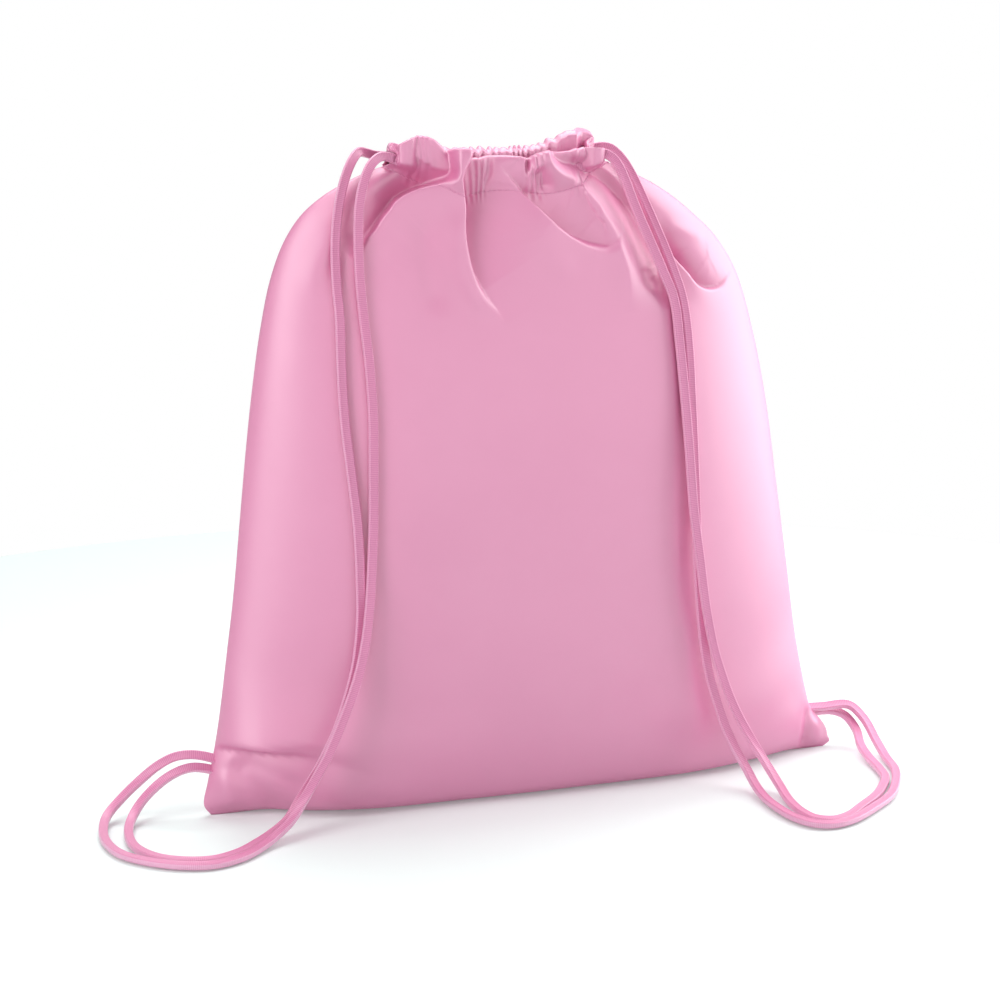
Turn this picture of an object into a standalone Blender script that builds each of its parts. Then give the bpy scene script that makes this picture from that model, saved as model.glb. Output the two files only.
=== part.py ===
"""Drawstring gym sack with two cord shoulder straps, standing filled on its base.

Units are metres, +Z up. The origin is on the floor, midway between the two bottom corners and
between the front and back panels. -Y is the front, the side that the straps lie on.
"""

import math

import bmesh
import bpy
import numpy as np

# Bag body
BASE_WIDTH = 0.400          # between the two bottom corners
SHOULDER_WIDTH = 0.314      # where the sides start to round in
SHOULDER_HEIGHT = 0.248
NECK_WIDTH = 0.138          # gathered top edge of the panels
STITCH_HEIGHT = 0.353       # top edge of the panels, under the channel's seam
COLLAR_RISE = 0.004         # upright strip between the rounded shoulder and the channel
NECK_OFFSET = -0.018        # the gathered neck sits left of the base's middle
BELLY_THICKNESS = 0.104     # front to back at the fullest height
BELLY_HEIGHT = 0.140
FLOOR_THICKNESS = 0.036     # flat of the base, front to back
NECK_THICKNESS = 0.039
CORNER_TUCK = 0.004         # the bottom seam ends this far inside each corner
WALL = 0.002                # cloth panel as a solid
SIDE_FULLNESS = 2.3         # exponent of the section across the bag: higher is boxier
SIDE_ROUNDING = 0.62        # exponent of the section towards the side seams
SIDE_TAPER = 1.25           # exponent of the sides between the base and the shoulder
NECK_TAPER = 2.2            # exponent of the thickness above the belly
LEAN_CURVE = 1.5            # exponent of the neck's sideways offset over the height

# Cord channels at the mouth
MOUTH_GAP = 0.022           # between the two channels at the middle of the mouth
CHANNEL_LENGTH = 0.116
CHANNEL_OFFSET = -0.022     # the channels' middle, left of the base's
LEFT_RISE = 0.012           # the gathered edge climbs this far from its middle to the left slot
RIGHT_RISE = 0.006          # and this far to the right one
CHANNEL_HEIGHT = 0.025
CHANNEL_WALL = 0.0016
CHANNEL_END_OFFSET = 0.0085 # channel centreline to the seam plane at either end
CHANNEL_CORNER = 0.003
BORE_ROUNDING = 0.45        # corner radius of the bore, as a share of its width

# Drawcords
CORD_DIAMETER = 0.005
CORD_SPACE = 0.001          # between the two cords, which lie one above the other in a channel
CORD_PLAY = 0.0006          # between a cord and the channel's bore
TURN_STRAIGHT = 0.0054      # straight lead of a turn outside the channels
TURN_REACH = 0.0135         # how far a cord's turn stands out of the far end of the channels
SWING_HEIGHT = 0.2918       # where the straps leave the shoulder, and swing from
SWING_GAP = 0.0016          # between a strap and the stretch that it swings from
ANCHOR_GAP = 0.0015         # between a strap's end and its tack

# Sewing
SEAM_ALLOWANCE = 0.008
SEAM_THICKNESS = 0.0012
SEAM_FOOT = 0.018           # the side seams' turned-in edges start this far above the floor
SEAM_TOP = 0.025            # and end this far under the collar
STITCH_PLACE = 0.35         # a seam's thread, as a share of the allowance in from the seam
STITCH_END = 0.0025         # a channel's row of stitches stops this far inside its ends
THREAD_DIAMETER = 0.0008
TACK_WIDTH = 0.010          # front to back
TACK_HEIGHT = 0.014
TACK_THICKNESS = 0.0028
LEFT_ANCHOR_HEIGHT = 0.0325
RIGHT_ANCHOR_HEIGHT = 0.0220
VENT_TACK_HEIGHT = 0.007
GAP = 0.0003                # between pieces that touch
SEAM_GAP = 0.0004           # between the front and the back panel along their seams

# Mesh density
COLUMNS = 20
FOOT_HEIGHTS = (0.002, 0.006)  # rows that round the foot of the bag
SIDE_ROWS = 9
SHOULDER_ROWS = 7
CHANNEL_STATIONS = 13
CORNER_STEPS = 4
STRAP_SPACING = 0.0115      # between a strap's points
RUN_SPACING = 0.007         # between a channel run's points, closer for its tight turn
CURVE_STEPS = 24            # points read per span of a smooth curve

FRONT, BACK = -1, 1
LEFT, RIGHT = -1, 1

CORD_PITCH = CORD_DIAMETER + CORD_SPACE
CHANNEL_THICKNESS = CORD_DIAMETER + 2 * (CORD_PLAY + CHANNEL_WALL)
BORE_HEIGHT = CORD_DIAMETER + CORD_PITCH + 2 * CORD_PLAY
CHANNEL_BOTTOM = STITCH_HEIGHT + GAP
CHANNEL_MIDDLE = CHANNEL_BOTTOM + CHANNEL_HEIGHT / 2
COLLAR_HEIGHT = STITCH_HEIGHT - COLLAR_RISE
LEFT_CORD_LEVEL = CHANNEL_MIDDLE - CORD_PITCH / 2
RIGHT_CORD_LEVEL = CHANNEL_MIDDLE + CORD_PITCH / 2

# Routes of the straps, from the channel's exit over the shoulder, down the bag's face and along
# the floor to the anchor at the bottom corner.
LEFT_FRONT_ROUTE = [
    (-0.0845, -0.0085, 0.3767), (-0.0897, -0.0092, 0.3785), (-0.0945, -0.0110, 0.3782),
    (-0.0996, -0.0138, 0.3750), (-0.1040, -0.0168, 0.3690), (-0.1074, -0.0192, 0.3605),
    (-0.1098, -0.0213, 0.3495), (-0.1110, -0.0238, 0.3370), (-0.1117, -0.0265, 0.3230),
    (-0.1117, -0.0292, 0.3080), (-0.1110, -0.0320, 0.2918),
    (-0.1095, -0.0370, 0.2660), (-0.1088, -0.0410, 0.2350), (-0.1097, -0.0435, 0.2050),
    (-0.1105, -0.0448, 0.1760), (-0.1120, -0.0460, 0.1500), (-0.1145, -0.0490, 0.1280),
    (-0.1180, -0.0515, 0.1080), (-0.1230, -0.0535, 0.0900), (-0.1295, -0.0557, 0.0745),
    (-0.1365, -0.0568, 0.0590), (-0.1440, -0.0580, 0.0445), (-0.1505, -0.0590, 0.0345),
    (-0.1585, -0.0605, 0.0225), (-0.1670, -0.0630, 0.0120), (-0.1770, -0.0665, 0.0055),
    (-0.1895, -0.0765, 0.0030), (-0.2035, -0.0880, 0.0030), (-0.2200, -0.0935, 0.0030),
    (-0.2360, -0.0890, 0.0030), (-0.2515, -0.0770, 0.0030), (-0.2630, -0.0600, 0.0030),
    (-0.2665, -0.0385, 0.0030), (-0.2635, -0.0150, 0.0032), (-0.2565, 0.0030, 0.0060),
    (-0.2465, 0.0085, 0.0135), (-0.2360, 0.0085, 0.0225), (-0.2260, 0.0070, 0.0305),
    (-0.2165, 0.0050, 0.0355), (-0.2070, 0.0015, 0.0370),
]
LEFT_BACK_ROUTE = [
    (-0.0845, 0.0085, 0.3767), (-0.0910, 0.0078, 0.3775), (-0.0975, 0.0042, 0.3795),
    (-0.1035, -0.0018, 0.3806), (-0.1092, -0.0072, 0.3762), (-0.1142, -0.0112, 0.3682),
    (-0.1182, -0.0142, 0.3578), (-0.1215, -0.0172, 0.3440), (-0.1235, -0.0205, 0.3280),
    (-0.1243, -0.0248, 0.3100), (-0.1240, -0.0290, 0.2918),
    (-0.1245, -0.0330, 0.2620), (-0.1240, -0.0362, 0.2350),
    (-0.1215, -0.0395, 0.2050), (-0.1190, -0.0422, 0.1760), (-0.1180, -0.0435, 0.1450),
    (-0.1185, -0.0445, 0.1180), (-0.1220, -0.0465, 0.0950), (-0.1288, -0.0495, 0.0745),
    (-0.1355, -0.0505, 0.0575), (-0.1440, -0.0520, 0.0425), (-0.1505, -0.0525, 0.0325),
    (-0.1590, -0.0537, 0.0205), (-0.1665, -0.0560, 0.0110), (-0.1760, -0.0590, 0.0055),
    (-0.1885, -0.0675, 0.0030), (-0.2025, -0.0795, 0.0030), (-0.2180, -0.0855, 0.0030),
    (-0.2325, -0.0820, 0.0030), (-0.2455, -0.0715, 0.0030), (-0.2530, -0.0520, 0.0030),
    (-0.2515, -0.0265, 0.0032), (-0.2445, -0.0060, 0.0055), (-0.2380, 0.0000, 0.0115),
    (-0.2300, 0.0010, 0.0190), (-0.2215, 0.0010, 0.0250), (-0.2130, 0.0010, 0.0285),
    (-0.2060, 0.0005, 0.0295),
]
RIGHT_FRONT_ROUTE = [
    (0.0376, -0.0085, 0.3752), (0.0423, -0.0094, 0.3755), (0.0465, -0.0118, 0.3732),
    (0.0497, -0.0152, 0.3680), (0.0524, -0.0184, 0.3602), (0.0554, -0.0216, 0.3500),
    (0.0592, -0.0247, 0.3388), (0.0642, -0.0279, 0.3258), (0.0706, -0.0308, 0.3098),
    (0.0773, -0.0333, 0.2918),
    (0.0790, -0.0380, 0.2680), (0.0805, -0.0437, 0.2350),
    (0.0815, -0.0488, 0.2050), (0.0830, -0.0525, 0.1720), (0.0870, -0.0542, 0.1400),
    (0.0915, -0.0537, 0.1110), (0.0980, -0.0515, 0.0850), (0.1030, -0.0525, 0.0685),
    (0.1085, -0.0540, 0.0530), (0.1150, -0.0565, 0.0385), (0.1220, -0.0610, 0.0245),
    (0.1275, -0.0675, 0.0130), (0.1295, -0.0780, 0.0055), (0.1265, -0.0960, 0.0030),
    (0.1240, -0.1110, 0.0030), (0.1234, -0.1235, 0.0030), (0.1256, -0.1352, 0.0030),
    (0.1338, -0.1412, 0.0030), (0.1449, -0.1380, 0.0030), (0.1600, -0.1252, 0.0030),
    (0.1780, -0.1090, 0.0030), (0.1905, -0.0930, 0.0030), (0.1985, -0.0800, 0.0030),
    (0.2035, -0.0620, 0.0030), (0.2065, -0.0420, 0.0040), (0.2095, -0.0255, 0.0068),
    (0.2135, -0.0110, 0.0120), (0.2110, -0.0014, 0.0183),
]
RIGHT_BACK_ROUTE = [
    (0.0405, 0.0085, 0.3758), (0.0465, 0.0078, 0.3775), (0.0520, 0.0055, 0.3768),
    (0.0568, 0.0015, 0.3722), (0.0607, -0.0040, 0.3645), (0.0640, -0.0095, 0.3550),
    (0.0668, -0.0157, 0.3448), (0.0708, -0.0206, 0.3328), (0.0751, -0.0249, 0.3202),
    (0.0795, -0.0286, 0.3066), (0.0835, -0.0315, 0.2918),
    (0.0853, -0.0370, 0.2650),
    (0.0858, -0.0410, 0.2350), (0.0863, -0.0445, 0.2030), (0.0870, -0.0468, 0.1720),
    (0.0882, -0.0480, 0.1400), (0.0905, -0.0476, 0.1110), (0.0935, -0.0468, 0.0870),
    (0.0965, -0.0490, 0.0680), (0.1005, -0.0510, 0.0530), (0.1055, -0.0535, 0.0365),
    (0.1105, -0.0572, 0.0235), (0.1150, -0.0635, 0.0125), (0.1165, -0.0720, 0.0055),
    (0.1145, -0.0910, 0.0030), (0.1135, -0.1130, 0.0030), (0.1155, -0.1310, 0.0030),
    (0.1210, -0.1430, 0.0030), (0.1305, -0.1480, 0.0030), (0.1450, -0.1440, 0.0030),
    (0.1635, -0.1310, 0.0030), (0.1850, -0.1125, 0.0030), (0.1990, -0.0925, 0.0030),
    (0.2110, -0.0690, 0.0030), (0.2180, -0.0430, 0.0030), (0.2205, -0.0250, 0.0080),
    (0.2190, -0.0100, 0.0185), (0.2130, -0.0012, 0.0252),
]

PINK_CLOTH = (0.75, 0.31, 0.50)
PINK_CORD = (0.78, 0.32, 0.52)
PINK_THREAD = (0.66, 0.24, 0.42)


def clear_scene():
    for old in list(bpy.data.objects):
        bpy.data.objects.remove(old)


def make_material(name, colour, roughness):
    material = bpy.data.materials.new(name)
    material.use_nodes = True
    shader = material.node_tree.nodes["Principled BSDF"]
    shader.inputs["Base Color"].default_value = (*colour, 1.0)
    shader.inputs["Roughness"].default_value = roughness
    shader.inputs["Metallic"].default_value = 0.0
    return material


def add_object(name, data, colour, roughness):
    """A node of the assembly, with a material of its own."""
    thing = bpy.data.objects.new(name, data)
    thing.data.materials.append(make_material(name, colour, roughness))
    bpy.context.scene.collection.objects.link(thing)
    return thing


def mesh_object(name, points, faces, colour, roughness, smooth=True):
    mesh = bpy.data.meshes.new(name)
    mesh.from_pydata([tuple(p) for p in points], [], faces)
    shape = bmesh.new()
    shape.from_mesh(mesh)
    bmesh.ops.recalc_face_normals(shape, faces=shape.faces)
    shape.to_mesh(mesh)
    shape.free()
    if smooth:
        mesh.shade_smooth()
        mesh.set_sharp_from_angle(angle=math.radians(40))
    return add_object(name, mesh, colour, roughness)


def half_width(height):
    """Side seam to the bag's middle line at a height."""
    base, shoulder, neck = BASE_WIDTH / 2, SHOULDER_WIDTH / 2, NECK_WIDTH / 2
    if height <= SHOULDER_HEIGHT:
        return shoulder + (base - shoulder) * (1 - height / SHOULDER_HEIGHT) ** SIDE_TAPER
    rise = min(1.0, (height - SHOULDER_HEIGHT) / (COLLAR_HEIGHT - SHOULDER_HEIGHT))
    return neck + (shoulder - neck) * math.sqrt(1 - rise * rise)


def half_depth(height):
    """Seam plane to the front or the back of the bag at a height."""
    floor, belly, neck = FLOOR_THICKNESS / 2, BELLY_THICKNESS / 2, NECK_THICKNESS / 2
    if height <= BELLY_HEIGHT:
        fall = 1 - height / BELLY_HEIGHT
        return floor + (belly - floor) * math.sqrt(1 - fall * fall)
    rise = (height - BELLY_HEIGHT) / (STITCH_HEIGHT - BELLY_HEIGHT)
    return neck + (belly - neck) * (1 - rise ** NECK_TAPER)


def middle(height):
    """Sideways place of the bag's middle line."""
    return NECK_OFFSET * (height / STITCH_HEIGHT) ** LEAN_CURVE


def seam_place(side, height):
    """Sideways place of a side seam."""
    return middle(height) + side * half_width(height)


def edge_rise(along):
    """How far the gathered edge has climbed above its middle, with along from -1, left, to 1, right."""
    return (LEFT_RISE if along < 0 else RIGHT_RISE) * along * along


def section_rows():
    """(half width, half depth, height) of each row, from the bottom seam up to the stitched edge."""
    heights = list(FOOT_HEIGHTS)
    lowest = heights[-1]
    step = (SHOULDER_HEIGHT - lowest) / SIDE_ROWS
    heights += [lowest + step * k for k in range(1, SIDE_ROWS + 1)]
    for k in range(1, SHOULDER_ROWS + 1):
        turn = math.pi / 2 * k / SHOULDER_ROWS
        heights.append(SHOULDER_HEIGHT + (COLLAR_HEIGHT - SHOULDER_HEIGHT) * math.sin(turn))
    rows = [(BASE_WIDTH / 2 - CORNER_TUCK, 0.0, 0.0), (BASE_WIDTH / 2, FLOOR_THICKNESS / 2, 0.0)]
    rows += [(half_width(z), half_depth(z), z) for z in heights]
    rows.append((NECK_WIDTH / 2, NECK_THICKNESS / 2, STITCH_HEIGHT))
    return rows


def inset(profile, wall):
    """A profile of (reach, height) points, moved inwards by the wall, square to itself."""
    points = np.array(profile)
    along = np.gradient(points, axis=0)
    along /= np.linalg.norm(along, axis=1)[:, None]
    inwards = np.stack([-along[:, 1], along[:, 0]], axis=1)
    moved = points + wall * inwards
    moved[0] = points[0] + (0.0, wall)
    moved[-1] = points[-1] - (wall, 0.0)
    return moved


def panel_grid(side, wall):
    """Points of a panel's face: its outside where wall is 0, and its inside where it isn't."""
    rows = section_rows()
    seam = inset([(w, z) for w, _, z in rows], wall)
    crown = inset([(d, z) for _, d, z in rows], wall)
    grid = []
    for (width, seam_height), (depth, crown_height) in zip(seam, crown):
        line = []
        depth = max(depth, 0.0)
        for column in range(COLUMNS + 1):
            across = math.sin(math.pi / 2 * (2 * column / COLUMNS - 1))
            edge = abs(across) ** SIDE_FULLNESS
            height = crown_height + (seam_height - crown_height) * edge
            bulge = depth * max(0.0, 1 - edge) ** SIDE_ROUNDING
            line.append((middle(height) + across * width, side * (SEAM_GAP / 2 + bulge), height))
        grid.append(line)
    along = [min(1.0, max(-1.0, 2 * (x - CHANNEL_OFFSET) / CHANNEL_LENGTH)) for x, _, _ in grid[-1]]
    grid[-1] = [(x, y, z + edge_rise(place)) for (x, y, z), place in zip(grid[-1], along)]
    return grid


def make_panel(name, side):
    """One cloth panel, cut to its seams at the sides and bottom and to the stitched edge on top."""
    outside, inside = panel_grid(side, 0.0), panel_grid(side, WALL)
    rows, columns = len(outside), COLUMNS + 1
    points = [p for line in outside for p in line] + [p for line in inside for p in line]
    inner = rows * columns
    faces = []
    for r in range(rows - 1):
        for c in range(COLUMNS):
            a, b = r * columns + c, (r + 1) * columns + c
            faces.append((a, a + 1, b + 1, b))
            faces.append((inner + a, inner + b, inner + b + 1, inner + a + 1))
    rim = [r * columns for r in range(rows)]
    rim += [(rows - 1) * columns + c for c in range(1, columns)]
    rim += [r * columns + COLUMNS for r in range(rows - 2, -1, -1)]
    rim += list(range(COLUMNS - 1, 0, -1))
    for a, b in zip(rim, rim[1:] + rim[:1]):
        faces.append((a, b, inner + b, inner + a))
    mesh_object(name, points, faces, PINK_CLOTH, 0.45)


def channel_line(side, along, out=0.0):
    """A point of a channel's centreline in plan, with along from -1, left, to 1, right."""
    bow = MOUTH_GAP / 2 + CHANNEL_THICKNESS / 2 - CHANNEL_END_OFFSET
    bend = math.sqrt(max(0.0, 1 - along * along))
    slope = -3 * bow * along * bend / (CHANNEL_LENGTH / 2)
    square = np.array([-slope, 1.0]) / math.hypot(slope, 1.0)
    x = CHANNEL_OFFSET + along * CHANNEL_LENGTH / 2 + out * square[0]
    y = CHANNEL_END_OFFSET + bow * bend ** 3 + out * square[1]
    return np.array([x, side * y])


def rounded_loop(width, height, corner):
    """Points round a rectangle with round corners, as (across, up)."""
    loop = []
    for k, (sx, sy) in enumerate([(1, 1), (-1, 1), (-1, -1), (1, -1)]):
        for step in range(CORNER_STEPS):
            turn = math.pi / 2 * (k + step / (CORNER_STEPS - 1))
            across = sx * (width / 2 - corner) + corner * math.cos(turn)
            up = sy * (height / 2 - corner) + corner * math.sin(turn)
            loop.append((across, up))
    return loop


def make_channel(name, side):
    """The folded hem that the drawcords run through: a sleeve with a bore along its length."""
    bore_width = CHANNEL_THICKNESS - 2 * CHANNEL_WALL
    outer = rounded_loop(CHANNEL_THICKNESS, CHANNEL_HEIGHT, CHANNEL_CORNER)
    bore = rounded_loop(bore_width, BORE_HEIGHT, bore_width * BORE_ROUNDING)
    count = len(outer)
    points, faces = [], []
    for station in range(CHANNEL_STATIONS):
        along = 2 * station / (CHANNEL_STATIONS - 1) - 1
        for across, up in outer + bore:
            x, y = channel_line(side, along, across)
            points.append((x, y, CHANNEL_MIDDLE + edge_rise(along) + up))
    stride = 2 * count
    for station in range(CHANNEL_STATIONS - 1):
        here, there = station * stride, (station + 1) * stride
        for first in (0, count):
            for k in range(count):
                a, b = first + k, first + (k + 1) % count
                faces.append((here + a, here + b, there + b, there + a))
    for start in (0, (CHANNEL_STATIONS - 1) * stride):
        for k in range(count):
            a, b = k, (k + 1) % count
            faces.append((start + a, start + b, start + count + b, start + count + a))
    mesh_object(name, points, faces, PINK_CLOTH, 0.45)


def smooth_curve(route):
    """Closely spaced points of a smooth curve through a route's own points."""
    points = np.array(route)
    before = 2 * points[0] - points[1]
    after = 2 * points[-1] - points[-2]
    padded = np.vstack([before, points, after])
    steps = np.sqrt(np.linalg.norm(np.diff(padded, axis=0), axis=1))
    knots = np.concatenate([[0.0], np.cumsum(steps)])
    curve = []
    for k in range(1, len(padded) - 2):
        p0, p1, p2, p3 = padded[k - 1:k + 3]
        t0, t1, t2, t3 = knots[k - 1:k + 3]
        for t in np.linspace(t1, t2, CURVE_STEPS, endpoint=False):
            a1 = (t1 - t) / (t1 - t0) * p0 + (t - t0) / (t1 - t0) * p1
            a2 = (t2 - t) / (t2 - t1) * p1 + (t - t1) / (t2 - t1) * p2
            a3 = (t3 - t) / (t3 - t2) * p2 + (t - t2) / (t3 - t2) * p3
            b1 = (t2 - t) / (t2 - t0) * a1 + (t - t0) / (t2 - t0) * a2
            b2 = (t3 - t) / (t3 - t1) * a2 + (t - t1) / (t3 - t1) * a3
            curve.append((t2 - t) / (t2 - t1) * b1 + (t - t1) / (t2 - t1) * b2)
    curve.append(points[-1])
    return np.array(curve)


def reach_along(curve):
    """Distance along a curve to each of its points."""
    return np.concatenate([[0.0], np.cumsum(np.linalg.norm(np.diff(curve, axis=0), axis=1))])


def stretch(curve, start, end, spacing):
    """Evenly spaced points of a curve between two distances along it."""
    reach = reach_along(curve)
    count = max(2, round((end - start) / spacing) + 1)
    places = np.linspace(start, end, count)
    return np.stack([np.interp(places, reach, curve[:, axis]) for axis in range(3)], axis=1)


def tube(name, points, diameter, colour, roughness, origin=(0.0, 0.0, 0.0)):
    """A round cord or thread along a row of points, with its origin where it is asked for."""
    data = bpy.data.curves.new(name, "CURVE")
    data.dimensions = "3D"
    data.bevel_depth = diameter / 2
    data.bevel_resolution = 2
    data.use_fill_caps = True
    spline = data.splines.new("POLY")
    spline.points.add(len(points) - 1)
    for point, place in zip(spline.points, np.array(points) - origin):
        point.co = (*place, 1.0)
    spline.use_smooth = True
    add_object(name, data, colour, roughness).location = origin


def channel_run(side, level, from_side):
    """A drawcord's points along a channel, starting at the left or the right end."""
    places = np.linspace(from_side, -from_side, 9)
    return [(*channel_line(side, along), level + edge_rise(along)) for along in places]


def turn_points(end_side, level):
    """A drawcord's turn from the front channel into the back one, outside their ends."""
    end = CHANNEL_OFFSET + end_side * CHANNEL_LENGTH / 2
    lead = end + end_side * TURN_STRAIGHT
    height = level + edge_rise(end_side * (1 + 2 * TURN_STRAIGHT / CHANNEL_LENGTH))
    tip = (end + end_side * TURN_REACH, 0.0, height)
    return [(lead, -CHANNEL_END_OFFSET, height), tip, (lead, CHANNEL_END_OFFSET, height)]


def anchor_end(side, anchor_height, up):
    """Where a strap's end meets its tack, outside the side seam."""
    seam = seam_place(side, anchor_height + up)
    return (seam + side * (2 * GAP + TACK_THICKNESS + ANCHOR_GAP), 0.0, anchor_height + up)


def swing_place(curve, reach):
    """Distance along a strap's curve to where it leaves the shoulder."""
    low = np.argmax(curve[:, 2] < SWING_HEIGHT)
    share = (curve[low - 1, 2] - SWING_HEIGHT) / (curve[low - 1, 2] - curve[low, 2])
    return reach[low - 1] + share * (reach[low] - reach[low - 1])


def make_drawcord(side_name, side, level, routes, anchor_height, end_rises):
    """One drawcord in three stretches: its run through both channels and its two straps."""
    front_end = anchor_end(side, anchor_height, end_rises[0])
    back_end = anchor_end(side, anchor_height, end_rises[1])
    whole = [front_end, *reversed(routes[0]), *channel_run(FRONT, level, side),
             *turn_points(-side, level), *channel_run(BACK, level, -side), *routes[1], back_end]
    curve = smooth_curve(whole)
    reach = reach_along(curve)
    length = reach[-1]
    half = len(curve) // 2
    to_front = length - swing_place(curve[half::-1], length - reach[half::-1])
    to_back = swing_place(curve[half:], reach[half:])
    loose = SWING_GAP / 2
    run = stretch(curve, to_front + loose, to_back - loose, RUN_SPACING)
    tube(f"{side_name}_cord_channel_run", run, CORD_DIAMETER, PINK_CORD, 0.7)
    front = stretch(curve, 0.0, to_front - loose, STRAP_SPACING)
    back = stretch(curve, to_back + loose, length, STRAP_SPACING)
    for name, points in (("front", front), ("back", back)):
        tube(f"{side_name}_cord_{name}_strap", points, CORD_DIAMETER, PINK_CORD, 0.7, origin=back[0])
    print(f"{side_name} drawcord: {length:.3f} m, swings from {np.round(back[0], 4).tolist()}")


BOX_FACES = [(0, 3, 2, 1), (4, 5, 6, 7), (0, 1, 5, 4), (1, 2, 6, 5), (2, 3, 7, 6), (3, 0, 4, 7)]


def box_points(low, high):
    (x0, y0, z0), (x1, y1, z1) = low, high
    return [(x, y, z) for z in (z0, z1) for x, y in ((x0, y0), (x1, y0), (x1, y1), (x0, y1))]


def make_block(name, low, high, rounding, lean=0.0):
    """A small sewn block with rounded edges, which may lean sideways over its height."""
    low, high = np.minimum(low, high), np.maximum(low, high)
    points = np.array(box_points(low, high))
    points[:, 0] += lean * (points[:, 2] - (low[2] + high[2]) / 2)
    block = mesh_object(name, points, BOX_FACES, PINK_THREAD, 0.8, smooth=False)
    edges = block.modifiers.new("rounded", "BEVEL")
    edges.width = rounding
    edges.segments = 2


def make_anchor(name, side, height):
    """The row of stitches that holds a cord's two ends in the side seam."""
    bottom, top = height - TACK_HEIGHT / 2, height + TACK_HEIGHT / 2
    lean = (seam_place(side, top) - seam_place(side, bottom)) / TACK_HEIGHT
    near = seam_place(side, height) + side * 2 * GAP
    low = (near, -TACK_WIDTH / 2, bottom)
    high = (near + side * TACK_THICKNESS, TACK_WIDTH / 2, top)
    make_block(name, low, high, TACK_THICKNESS / 4, lean)


def make_vent_tack(name, side):
    """The stitches that close the foot of the slot where the cords come out."""
    near = NECK_OFFSET + side * (NECK_WIDTH / 2 + 2 * GAP)
    top = STITCH_HEIGHT + edge_rise(side)
    low = (near, -TACK_WIDTH / 4, top - VENT_TACK_HEIGHT)
    high = (near + side * TACK_THICKNESS, TACK_WIDTH / 4, top)
    make_block(name, low, high, TACK_THICKNESS / 4)


def seam_line(side, lowest, highest, inside, steps=16):
    """Points along the inside of a side seam, a set distance in from the panels' cut edges."""
    line = []
    for height in np.linspace(lowest, highest, steps):
        line.append((seam_place(side, height) - side * inside, height))
    return line


def ribbon(name, inner_edge, outer_edge):
    """A flat strip in the seam plane, from two edges given as (x, height) points."""
    points, faces = [], []
    for (x0, z0), (x1, z1) in zip(inner_edge, outer_edge):
        for y in (-SEAM_THICKNESS / 2, SEAM_THICKNESS / 2):
            points += [(x0, y, z0), (x1, y, z1)]
    for k in range(len(inner_edge) - 1):
        a, b = 4 * k, 4 * k + 4
        for p, q in ((0, 1), (1, 3), (3, 2), (2, 0)):
            faces.append((a + p, a + q, b + q, b + p))
    last = 4 * (len(inner_edge) - 1)
    faces.append((0, 2, 3, 1))
    faces.append((last, last + 1, last + 3, last + 2))
    mesh_object(name, points, faces, PINK_CLOTH, 0.6, smooth=False)


def make_side_seam(side_name, side):
    """The two cloth edges turned in along a side, and the thread that joins them."""
    lowest, highest = SEAM_FOOT, COLLAR_HEIGHT - SEAM_TOP
    edge = 2 * WALL
    inner = seam_line(side, lowest, highest, edge + SEAM_ALLOWANCE)
    outer = seam_line(side, lowest, highest, edge)
    ribbon(f"{side_name}_side_seam", inner, outer)
    thread = seam_line(side, lowest, highest, edge + SEAM_ALLOWANCE * STITCH_PLACE)
    face = SEAM_THICKNESS / 2 + GAP + THREAD_DIAMETER / 2
    points = [(x, face, z) for x, z in thread]
    tube(f"{side_name}_seam_stitching", points, THREAD_DIAMETER, PINK_THREAD, 0.8)


def make_bottom_seam():
    """The panels' bottom edges turned up inside the bag, and the thread that joins them."""
    reach = BASE_WIDTH / 2 - CORNER_TUCK - 3 * SEAM_ALLOWANCE
    places = np.linspace(-reach, reach, 5)
    bottom = WALL + 2 * GAP
    ribbon("bottom_seam", [(x, bottom + SEAM_ALLOWANCE) for x in places], [(x, bottom) for x in places])
    face = SEAM_THICKNESS / 2 + GAP + THREAD_DIAMETER / 2
    points = [(x, face, bottom + SEAM_ALLOWANCE * STITCH_PLACE) for x in places]
    tube("bottom_seam_stitching", points, THREAD_DIAMETER, PINK_THREAD, 0.8)


def make_channel_stitching(name, side):
    """The row of stitches along the foot of a channel, on its outer face."""
    out = CHANNEL_THICKNESS / 2 + GAP + THREAD_DIAMETER / 2
    height = CHANNEL_BOTTOM + CHANNEL_CORNER
    last = 1 - STITCH_END / (CHANNEL_LENGTH / 2)
    places = np.linspace(-last, last, CHANNEL_STATIONS)
    points = [(*channel_line(side, along, out), height + edge_rise(along)) for along in places]
    tube(name, points, THREAD_DIAMETER, PINK_THREAD, 0.8)


def main():
    clear_scene()
    for name, side in (("front", FRONT), ("back", BACK)):
        make_panel(f"{name}_panel", side)
        make_channel(f"{name}_channel", side)
        make_channel_stitching(f"{name}_channel_stitching", side)
    make_bottom_seam()
    for name, side, height in (("left", LEFT, LEFT_ANCHOR_HEIGHT), ("right", RIGHT, RIGHT_ANCHOR_HEIGHT)):
        make_side_seam(name, side)
        make_anchor(f"{name}_cord_anchor", side, height)
        make_vent_tack(f"{name}_vent_tack", side)
    above, below = CORD_PITCH / 2, -CORD_PITCH / 2
    make_drawcord("left", LEFT, LEFT_CORD_LEVEL, (LEFT_FRONT_ROUTE, LEFT_BACK_ROUTE),
                  LEFT_ANCHOR_HEIGHT, (above, below))
    make_drawcord("right", RIGHT, RIGHT_CORD_LEVEL, (RIGHT_FRONT_ROUTE, RIGHT_BACK_ROUTE),
                  RIGHT_ANCHOR_HEIGHT, (below, above))


main()
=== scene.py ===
"""Pink satin drawstring gym sack, standing filled, with its two drawcords as shoulder straps."""

import math

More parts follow.
